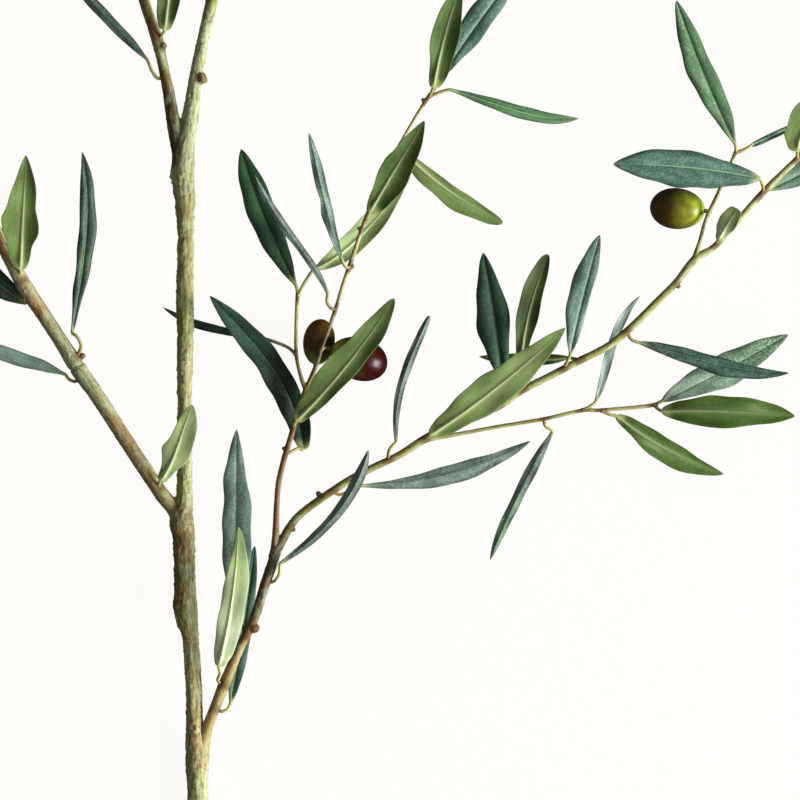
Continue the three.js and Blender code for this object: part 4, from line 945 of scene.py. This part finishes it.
def ring_groove(point, tangent):
    """How deep the bark is cut at a point by the rings that run round the stem, in millimetres."""
    deepest = 0.0
    for x, y, depth in BARK_RINGS:
        dx = point[0] - x
        dy = point[1] - y
        if dx * dx + dy * dy < RING_REACH ** 2:
            wobble = noise.noise(Vector(point) * RING_WOBBLE)
            off = (dx * tangent[0] + dy * tangent[1]) / RING_WIDTH + wobble
            deepest = max(deepest, depth * math.exp(-off * off))
    return deepest


def bark_height(point, sideways, upwards, along, number):
    """Ridges that run along the stem, lumps and specks, in parts of the stem's relief."""
    place = Vector(point)
    run = along * RIDGE_RUN + RIDGE_STEP * number
    ridge = noise.noise(Vector((sideways * RIDGE_SCALE, upwards * RIDGE_SCALE, run)))
    lump = noise.noise(place * LUMP_SCALE)
    speck = max(0, noise.noise(place * SPECK_SCALE + SPECK_SHIFT) - SPECK_START)
    return RIDGE_HEIGHT * ridge + LUMP_HEIGHT * lump + SPECK_HEIGHT * speck


def read_vectors(vertices, name):
    values = np.empty(len(vertices) * 3, np.float32)
    vertices.foreach_get(name, values)
    return values.reshape(-1, 3).astype(float)


def dress_wood(piece, stems, feet, regrowth):
    """Colours, bark coordinates and relief of a fused piece, from the nearest point of a stem's axis."""
    rows = axis_samples(stems)
    axes = finder([row[0] for row in rows])
    joints = finder(feet)
    mesh = piece.data
    co = read_vectors(mesh.vertices, "co")
    normal = read_vectors(mesh.vertices, "normal")
    tint, grain, marks = np.empty((3, len(co), 3))
    push = np.empty(len(co))
    for v, point in enumerate(co / MM + ORIGIN_IN_BRANCH):
        _, i, _ = axes.find(Vector(point))
        _, _, joint_distance = joints.find(Vector(point))
        place, tangent, side, up, length, number, share, radius, tone = rows[i]
        stations, _, relief = stems[number]
        d = point - place
        ahead = d @ tangent
        angle = math.atan2(d @ up, d @ side)
        sideways = radius * math.cos(angle)
        upwards = radius * math.sin(angle)
        cut = stations is MAIN_STEM and share == 0 and ahead < -CUT_DEPTH
        groove = ring_groove(point, tangent)
        height = 0 if cut else relief * bark_height(point, sideways, upwards, length + ahead, number)
        grain[v] = (sideways, upwards, length + ahead + STEM_STEP * number)
        marks[v] = (max(0.0, 1 - joint_distance / NODE_REACH), cut, math.hypot(d @ up, d @ side))
        push[v] = regrowth + height - groove
        tint[v] = tone * (1 - groove)
    spread_over(mesh, tint)
    co += normal * push[:, None] * MM
    co[:, 2] = np.maximum(co[:, 2], FLOOR_CLEARANCE * MM)
    mesh.vertices.foreach_set("co", co.astype(np.float32).ravel())
    mesh.update()
    set_attributes(piece, tint, grain=grain, marks=marks)


# ---- materials ----

LEAF_NIGHT = "#08170c"
LEAF_DUST = "#86a888"
BLOOM_GREY = "#adc6b1"
RIM_GREY = "#8ea091"
UPPER_RIB = "#a3c596"
UNDER_SHADE = "#233a12"
UNDER_LIGHT = "#c6d1a2"
UNDER_RIB = "#dde6b8"
PETIOLE_STREAK = "#5a4020"
BARK_LICHEN = "#bdd0a6"
BARK_WARM = "#87592a"
# Painted shade and painted light, laid on the left and right sides of each stem.
PAINTED_BARK_SHADE = "#39330f"
PAINTED_BARK_LIGHT = "#c2cba4"
STREAK_DARK = "#3b3410"
STREAK_PALE = "#dfdcb2"
CRACK_TONE = "#2c260c"
FLECK_TONE = "#2f260d"
RING_TONE = "#4a3f1a"
JOINT_TONE = "#62401f"
CUT_PALE = "#d9c491"
CUT_RING = "#b89a60"
CUT_RINGS = 9.0  # radians of the cut's rings in a millimetre
OLIVE_GREEN = "#90a02c"
OLIVE_DULL = "#66611b"
OLIVE_TURNED = "#4a3410"
OLIVE_DOTS = "#a8986a"


class Shader:
    """A material's nodes, made one after another."""

    def __init__(self, name):
        self.material = bpy.data.materials.new(name)
        self.material.use_nodes = True
        self.tree = self.material.node_tree
        self.surface = self.tree.nodes["Principled BSDF"]

    def node(self, kind, inputs, output=0, **settings):
        made = self.tree.nodes.new(kind)
        for key, value in settings.items():
            setattr(made, key, value)
        for key, value in inputs.items():
            self.put(made.inputs[key], value)
        return made.outputs[output]

    def put(self, socket, value):
        if isinstance(value, bpy.types.NodeSocket):
            self.tree.links.new(value, socket)
        else:
            socket.default_value = value

    def attribute(self, name, output="Vector"):
        return self.node("ShaderNodeAttribute", {}, output, attribute_name=name)

    def split(self, vector):
        made = self.tree.nodes.new("ShaderNodeSeparateXYZ")
        self.put(made.inputs[0], vector)
        return made.outputs[0], made.outputs[1], made.outputs[2]

    def stretch(self, vector, scale):
        return self.node("ShaderNodeMapping", {"Vector": vector, "Scale": scale})

    def noise(self, vector, scale, rough=0.55, detail=3.0, stretch=None):
        place = self.stretch(vector, stretch) if stretch else vector
        inputs = {"Vector": place, "Scale": scale, "Detail": detail, "Roughness": rough}
        return self.node("ShaderNodeTexNoise", inputs)

    def ramp(self, value, low, high, to_low=0, to_high=1):
        inputs = {"Value": value, "From Min": low, "From Max": high, "To Min": to_low, "To Max": to_high}
        return self.node("ShaderNodeMapRange", inputs, interpolation_type="SMOOTHSTEP")

    def maths(self, operation, a, b=0):
        return self.node("ShaderNodeMath", {0: a, 1: b}, operation=operation)

    def times(self, first, *others):
        for other in others:
            first = self.maths("MULTIPLY", first, other)
        return first

    def mix(self, factor, a, b):
        inputs = {0: factor, 6: self.rgba(a), 7: self.rgba(b)}
        return self.node("ShaderNodeMix", inputs, 2, data_type="RGBA")

    def rgba(self, value):
        if isinstance(value, bpy.types.NodeSocket):
            return value
        return (*colour(value), 1)

    def layers(self, body, *rows):
        """Colours laid over a body. How much of each shows is a ramp of its mask, in four numbers."""
        for mask, low, high, to_low, to_high, over in rows:
            body = self.mix(self.ramp(mask, low, high, to_low, to_high), body, over)
        return body

    def bump(self, height, distance, strength):
        inputs = {"Height": height, "Distance": distance * MM, "Strength": strength}
        return self.node("ShaderNodeBump", inputs)

    def finish(self, **inputs):
        for key, value in inputs.items():
            self.put(self.surface.inputs[key.replace("_", " ")], value)
        return self.material


def leaf_shader(name):
    """A new shader and what it reads: tone, blade, distance and share from the midrib, t and look."""
    shader = Shader(name)
    blade = shader.attribute("blade")
    across, t, _ = shader.split(shader.attribute("share"))
    distance = shader.maths("ABSOLUTE", shader.split(blade)[0])
    out = shader.maths("ABSOLUTE", across)
    look = shader.split(shader.attribute("look"))
    return shader, shader.attribute("tone", "Color"), blade, distance, out, t, look


def upper_face():
    """Deep green, clouded, with a grainy grey bloom, dark towards the margins, and a thin pale midrib."""
    shader, tone, blade, distance, out, t, (bloom, grit, rib) = leaf_shader("leaf_upper")
    cloud = shader.noise(blade, 0.24, stretch=(1, 0.3, 1))
    drift = shader.noise(blade, 0.4, 0.6, stretch=(1, 0.4, 1))
    dust = shader.noise(blade, 1.15, 0.75)
    dark = shader.mix(0.6, tone, LEAF_NIGHT)
    depth = shader.layers(
        tone,
        (cloud, 0.35, 0.7, 0, 0.7, dark),
        (out, 0.55, 1, 0, 0.55, dark),
        (t, 0.86, 1, 0, 0.5, dark),
        (dust, 0.5, 0.68, 0, 0.13, LEAF_DUST),
    )
    specks = shader.times(shader.ramp(dust, 0.42, 0.6, 0, 1.5), grit)
    grains = shader.maths("ADD", specks, shader.ramp(grit, 0, 1, 0.8, 0.1))
    veil = shader.times(shader.ramp(drift, 0.32, 0.68, 0.2, 1), grains,
                        shader.ramp(bloom, 0, 1, 0, 0.62), shader.ramp(out, 0.5, 1, 1, 0.35))
    powdered = shader.mix(veil, depth, BLOOM_GREY)
    rimmed = shader.layers(powdered, (out, 0.93, 1, 0, 0.25, shader.mix(0.5, tone, RIM_GREY)))
    line = shader.times(shader.ramp(distance, 0.08, 0.36, 1, 0),
                        shader.ramp(t, 0.6, 0.95, 1, 0), rib, 0.55)
    ribbed = shader.mix(line, rimmed, UPPER_RIB)
    wave = {"Vector": shader.stretch(blade, (0.7, 1, 0)), "Scale": 0.24, "Distortion": 2.0, "Detail": 1,
            "Detail Scale": 0.8}
    veins = shader.node("ShaderNodeTexWave", wave, 1, bands_direction="DIAGONAL")
    height = shader.maths("ADD", shader.times(dust, 0.5), shader.times(veins, 0.3))
    return shader.finish(Base_Color=ribbed, Roughness=shader.ramp(dust, 0.3, 0.7, 0.4, 0.56),
                         Specular_IOR_Level=0.22, Normal=shader.bump(height, 0.09, 0.7))


def under_face():
    """Yellow-green and smooth, with painted light beside the midrib, painted shade towards the margins, a
    thin pale rim, and a raised pale midrib that fades before the tip.
    """
    shader, tone, blade, distance, out, t, (_, _, rib) = leaf_shader("leaf_under")
    cloud = shader.noise(blade, 0.24, stretch=(1, 0.2, 1))
    grain = shader.noise(blade, 1.2, 0.65, stretch=(1, 0.5, 1))
    dark = shader.mix(0.6, tone, UNDER_SHADE)
    light = shader.mix(0.35, tone, UNDER_LIGHT)
    body = shader.layers(
        tone,
        (cloud, 0.42, 0.72, 0, 0.75, dark),
        (cloud, 0.25, 0.45, 0.5, 0, light),
        (grain, 0.45, 0.7, 0, 0.2, light),
        # Painted light beside the midrib and painted shade towards the margins, in place of the blade's
        # curve.
        (out, 0, 0.5, 0.35, 0, light),
        (out, 0.4, 0.9, 0, 0.4, dark),
        (out, 0.94, 1, 0, 0.35, light),
        (t, 0.72, 1, 0, 0.6, dark),
    )
    rib_width = shader.ramp(t, 0, 0.9, 1.25, 0.5)
    spacing = shader.maths("DIVIDE", distance, rib_width)
    line = shader.times(shader.ramp(spacing, 0.15, 0.9, 1, 0), shader.ramp(t, 0.3, 0.85, 0.75, 0), rib)
    ribbed = shader.mix(line, body, shader.mix(0.55, tone, UNDER_RIB))
    return shader.finish(Base_Color=ribbed, Roughness=shader.ramp(grain, 0.3, 0.7, 0.48, 0.6),
                         Specular_IOR_Level=0.2, Normal=shader.bump(grain, 0.04, 0.5))


def petiole_skin():
    """Yellow-green by the blade, brown at the stem."""
    shader = Shader("petiole")
    tone = shader.attribute("tone", "Color")
    streak = shader.noise(shader.attribute("blade"), 2.0, stretch=(1, 0.3, 1))
    shade = shader.layers(tone, (streak, 0.35, 0.7, 0, 0.5, shader.mix(0.55, tone, PETIOLE_STREAK)))
    return shader.finish(Base_Color=shade, Roughness=shader.ramp(streak, 0.3, 0.7, 0.45, 0.6),
                         Normal=shader.bump(streak, 0.08, 0.6))


def bark_skin(name, roughness, mottle_and_painted_light, relief):
    """Streaked and cracked young bark, redder at the leaf joints, pale wood on the cut, with painted shade
    on each stem's left side and painted light on its right side.
    """
    shader = Shader(name)
    tone = shader.attribute("tone", "Color")
    grain = shader.attribute("grain")
    sideways, _, _ = shader.split(grain)
    node, cut, radius = shader.split(shader.attribute("marks"))
    painted_light_side = shader.maths("DIVIDE", sideways, shader.maths("MAXIMUM", radius, 0.3))
    patch = shader.noise(grain, 0.26, 0.6, stretch=(1, 1, 0.45))
    streak = shader.noise(grain, 0.8, 0.62, 4.0, (1, 1, 0.2))
    crack = shader.noise(grain, 0.9, 0.65, stretch=(1, 1, 0.4))
    fleck = shader.noise(grain, 1.3, 0.65, stretch=(1, 1, 0.5))
    ring = shader.noise(grain, 0.55, 0.6, stretch=(0.12, 0.12, 1))
    barky = shader.layers(
        tone,
        (patch, 0.52, 0.6, 0, mottle_and_painted_light, shader.mix(0.6, tone, BARK_LICHEN)),
        (patch, 0.38, 0.46, mottle_and_painted_light, 0, shader.mix(0.5, tone, BARK_WARM)),
        # Painted shade on the stem's left side and painted light on its right side, as if lit from the
        # right.
        (painted_light_side, -0.6, 0.6, 0.6 * mottle_and_painted_light, 0, shader.mix(0.7, tone, PAINTED_BARK_SHADE)),
        (painted_light_side, 0.2, 0.9, 0, 0.5 * mottle_and_painted_light, shader.mix(0.6, tone, PAINTED_BARK_LIGHT)),
        (streak, 0.36, 0.47, mottle_and_painted_light, 0, shader.mix(0.65, tone, STREAK_DARK)),
        (streak, 0.54, 0.64, 0, 0.6 * mottle_and_painted_light, shader.mix(0.65, tone, STREAK_PALE)),
        (crack, 0.34, 0.42, 0.75 * mottle_and_painted_light, 0, CRACK_TONE),
        (fleck, 0.6, 0.7, 0, 0.55 * mottle_and_painted_light, FLECK_TONE),
        (ring, 0.66, 0.72, 0, 0.5 * mottle_and_painted_light, RING_TONE),
        (node, 0, 0.6, 0, 0.8, JOINT_TONE),
    )
    rings = shader.maths("SINE", shader.times(radius, CUT_RINGS))
    whole = shader.mix(cut, barky, shader.mix(shader.ramp(rings, -1, 1), CUT_PALE, CUT_RING))
    raised = shader.maths("ADD", streak, crack)
    height = shader.maths("SUBTRACT", raised, shader.times(shader.ramp(fleck, 0.58, 0.7), 0.5))
    gloss = shader.ramp(streak, 0.3, 0.7, roughness - 0.1, roughness + 0.1)
    return shader.finish(Base_Color=whole, Roughness=gloss, Specular_IOR_Level=0.25,
                         Normal=shader.bump(height, relief, 0.9))


def olive_skin():
    """Yellow-green by the stalk, ripening through brown to maroon at the far end, with fine pale dots."""
    shader = Shader("olive_skin")
    ripe, _, _ = shader.split(shader.attribute("ripeness"))
    place = shader.attribute("skin")
    cloud = shader.noise(place, 0.14, 0.5)
    stage = shader.maths("ADD", ripe, shader.ramp(cloud, 0.3, 0.7, -0.12, 0.12))
    dots = shader.node("ShaderNodeTexVoronoi", {"Vector": place, "Scale": 0.95})
    skin = shader.layers(
        OLIVE_GREEN,
        (stage, 0.05, 0.45, 0, 1, OLIVE_DULL),
        (stage, 0.3, 0.68, 0, 1, OLIVE_TURNED),
        (stage, 0.55, 0.9, 0, 1, shader.attribute("tone", "Color")),
        (dots, 0.08, 0.16, 0.12, 0, OLIVE_DOTS),
    )
    fine = shader.noise(place, 1.6)
    return shader.finish(Base_Color=skin, Roughness=shader.ramp(fine, 0.3, 0.7, 0.24, 0.32),
                         Specular_IOR_Level=0.22, Normal=shader.bump(fine, 0.03, 0.3))


# ---- olives ----

OLIVE_SIDES = 72
OLIVE_STEPS = 56
OLIVE_TAPER = 0.05
DIMPLE_DEPTH = 0.55  # round the stalk
DIMPLE_RADIUS = 1.5


def turn_to(axis):
    return np.array(Vector((0, 1, 0)).rotation_difference(Vector(axis).normalized()).to_matrix())


def olive_faces():
    """Quads between the rings, and a fan at each end round one of the last two points."""
    faces = ring_faces(OLIVE_STEPS - 1, OLIVE_SIDES, 0).tolist()
    near = (OLIVE_STEPS - 1) * OLIVE_SIDES
    end = near - OLIVE_SIDES
    for k in range(OLIVE_SIDES):
        after = (k + 1) % OLIVE_SIDES
        faces.append([near, after, k])
        faces.append([near + 1, end + k, end + after])
    return faces


def olive_piece(olive, material):
    """A plump drupe with a dimple round its stalk."""
    half = olive["length"] / 2
    angle = np.linspace(0, math.pi, OLIVE_STEPS + 1)[:, None]
    radius = np.sin(angle) * (1 - OLIVE_TAPER * np.cos(angle)) * olive["width"] / 2
    dimple = DIMPLE_DEPTH * np.exp(-(radius / DIMPLE_RADIUS) ** 2) * (angle < 1)
    along = dimple - np.cos(angle) * half
    spin = np.linspace(0, 2 * math.pi, OLIVE_SIDES, endpoint=False)
    rings = vectors(radius * np.cos(spin), along, radius * np.sin(spin))[OLIVE_SIDES:-OLIVE_SIDES]
    local = np.vstack([rings, vectors(0, along[[0, -1]], 0)])
    points = local @ turn_to(olive["axis"]).T + np.array(olive["centre"])
    piece = new_object(olive["name"] + "_skin", points, olive_faces(), [material])
    tones = np.tile(colour(olive["ripe_tone"]), (len(local), 1))
    ripeness = vectors((local[:, 1] + half) / olive["length"] + olive["ripened"], 0, 0)
    set_attributes(piece, tones, ripeness=ripeness, skin=local + np.array(olive["centre"]))
    return piece


def stalk_stations(olive):
    """A stalk from its twig to its olive, which it meets along the olive's axis."""
    axis = unit(np.array(olive["axis"], float))
    end = np.array(olive["centre"]) - axis * (olive["length"] / 2 - STALK_SINK)
    before = end - axis * STALK_RUN_IN
    start = np.array(olive["stalk_foot"], float)
    middle = (start + before) / 2
    return [[*point, radius] for point, radius in zip([start, middle, before, end], STALK_RADII)]


# ---- the branch ----

BARK_NODES = ["main_stem", "leader_shoot", "top_left_shoot", "left_branch"]
TWIG_NODES = ["right_branch", "long_twig", "fruit_twig", "lower_twig", "upper_twig"]
LEAFY = {
    "leader_shoot": paired_leaves(LEADER, **LEADER_PAIRS),
    "top_left_shoot": TOP_SHOOT_LEAVES + paired_leaves(TOP_SHOOT, **TOP_SHOOT_PAIRS),
    "left_branch": LEFT_BRANCH_LEAVES + paired_leaves(LEFT_BRANCH, **LEFT_BRANCH_PAIRS),
    "right_branch": RIGHT_BRANCH_LEAVES,
    "long_twig": LONG_TWIG_LEAVES + paired_leaves(LONG_TWIG, **LONG_TWIG_PAIRS),
    "fruit_twig": FRUIT_TWIG_LEAVES,
    "lower_twig": LOWER_TWIG_LEAVES,
    "upper_twig": UPPER_TWIG_LEAVES,
}
for stem, which, move in MOVED_CLEAR:
    LEAFY[stem][which]["midrib"] = np.array(LEAFY[stem][which]["midrib"]) + move


def leaf_feet(nodes):
    return [leaf["foot"] for node in nodes for leaf in LEAFY.get(node, [])]


def bud_balls(buds):
    return [ball(bud[:3], bud[3]) for bud in buds]


def bud_places(buds):
    return [bud[:3] for bud in buds]


leaf_materials = [upper_face(), under_face(), petiole_skin()]
number = 0
for node_name, leaves in LEAFY.items():
    piece = leaves_piece(node_name + "_leaves", leaves, number, leaf_materials)
    number += len(leaves)
    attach(piece, "root")
    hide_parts(node_name)

bark_parts = [tube(MAIN_STEM), tube(LEADER), tube(TOP_SHOOT, flare=True), tube(LEFT_BRANCH, flare=True)]
bark_parts += [tube(stub) for stub in MAIN_STUBS] + bud_balls(BARK_BUDS)
bark = fused("bark_wood", bark_parts, BARK_VOXEL)
dress_wood(bark, BARK_STEMS, leaf_feet(BARK_NODES) + bud_places(BARK_BUDS), BARK_REGROWTH)
bark.data.materials.append(bark_skin("bark", roughness=0.75, mottle_and_painted_light=0.66, relief=0.4))
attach(bark, "root")
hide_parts(*BARK_NODES)

twig_feet = leaf_feet(TWIG_NODES)
twig_stems = TWIG_STEMS + [(stalk_stations(olive), STALK_COLOURS, STALK_RELIEF) for olive in OLIVES]
twig_parts = [tube(stations, flare=True) for stations, _, _ in twig_stems]
twig_parts += [tube(stub) for stub in RIGHT_STUBS]
twig_parts += [ball(foot, PETIOLE_RADIUS * NODE_SWELLING) for foot in twig_feet] + bud_balls(TWIG_BUDS)
twig = fused("twig_wood", twig_parts, TWIG_VOXEL)
dress_wood(twig, twig_stems, twig_feet + bud_places(TWIG_BUDS), TWIG_REGROWTH)
twig.data.materials.append(bark_skin("twig_bark", roughness=0.6, mottle_and_painted_light=0.4, relief=0.16))
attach(twig, "root")
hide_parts(*TWIG_NODES)

olive_material = olive_skin()
for olive in OLIVES:
    piece = olive_piece(olive, olive_material)
    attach(piece, "root")
    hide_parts(olive["name"])


# ---- floor, light and camera, in metres ----

FLOOR_REACH = 24.0
FLOOR_SIDES = 96
WALL_HEIGHT = 6.0
FLOOR_COLOUR = (0.05, 0.05, 0.05, 1)
FLOOR_GLOW = (1.0, 0.985, 0.965, 1)
FLOOR_GLOW_STRENGTH = 0.96
HORIZON = 0.25  # how far the sky's two halves run into each other
FRAME_WIDTH = 0.336  # of the floor that the picture shows, at the height of the leaves
LEAF_HEIGHT = 0.022
LENS = 450.0
SENSOR = 36.0


def pale_stage():
    """A pale floor with a wall all round. It doesn't light the branch from below."""
    spin = np.linspace(0, 2 * math.pi, FLOOR_SIDES, endpoint=False)
    ring = np.stack([np.cos(spin), np.sin(spin)], -1) * FLOOR_REACH
    points = [[x, y, z] for z in (0.0, WALL_HEIGHT) for x, y in ring]
    faces = [list(range(FLOOR_SIDES))]
    for k in range(FLOOR_SIDES):
        after = (k + 1) % FLOOR_SIDES
        faces.append([k, FLOOR_SIDES + k, FLOOR_SIDES + after, after])
    mesh = bpy.data.meshes.new("floor")
    mesh.from_pydata(points, [], faces)
    mesh.materials.append(Shader("pale_floor").finish(
        Base_Color=FLOOR_COLOUR, Roughness=1.0, Specular_IOR_Level=0.0,
        Emission_Color=FLOOR_GLOW, Emission_Strength=FLOOR_GLOW_STRENGTH))
    floor = placed("floor", mesh)
    floor.visible_diffuse = False
    floor.visible_glossy = False


def area_light(name, azimuth, elevation, distance, size, watts):
    """A square soft light that points at the middle of the branch."""
    data = bpy.data.lights.new(name, "AREA")
    data.shape = "SQUARE"
    data.size = size
    data.energy = watts
    a = math.radians(azimuth)
    e = math.radians(elevation)
    direction = Vector((math.cos(a) * math.cos(e), math.sin(a) * math.cos(e), math.sin(e)))
    light = placed(name, data)
    light.location = direction * distance
    light.rotation_euler = direction.to_track_quat("Z", "Y").to_euler()
    light.visible_camera = False


def soft_world(above, below):
    """Even soft light from above, and less of it from below."""
    sky = bpy.data.worlds.new("soft_sky")
    bpy.context.scene.world = sky
    sky.use_nodes = True
    tree = sky.node_tree
    direction = tree.nodes.new("ShaderNodeTexCoord").outputs["Generated"]
    split = tree.nodes.new("ShaderNodeSeparateXYZ")
    tree.links.new(direction, split.inputs[0])
    ramp = tree.nodes.new("ShaderNodeMapRange")
    tree.links.new(split.outputs[2], ramp.inputs["Value"])
    limits = {"From Min": -HORIZON, "From Max": HORIZON, "To Min": below, "To Max": above}
    for name, value in limits.items():
        ramp.inputs[name].default_value = value
    background = tree.nodes["Background"]
    background.inputs["Color"].default_value = (1, 1, 1, 1)
    tree.links.new(ramp.outputs[0], background.inputs["Strength"])


def straight_down_camera():
    """A long lens over the origin of the branch coordinates, nearly without perspective."""
    data = bpy.data.cameras.new("camera")
    data.lens = LENS
    data.sensor_width = SENSOR
    data.clip_end = 100
    camera = placed("camera", data)
    x, y, _ = world([0, 0, 0])
    camera.location = (x, y, LEAF_HEIGHT + FRAME_WIDTH * LENS / SENSOR)
    bpy.context.scene.camera = camera


pale_stage()
soft_world(above=0.25, below=0.08)
area_light("key", azimuth=-14, elevation=20, distance=5.0, size=2.6, watts=610)
straight_down_camera()
bpy.context.scene.view_settings.view_transform = "Standard"
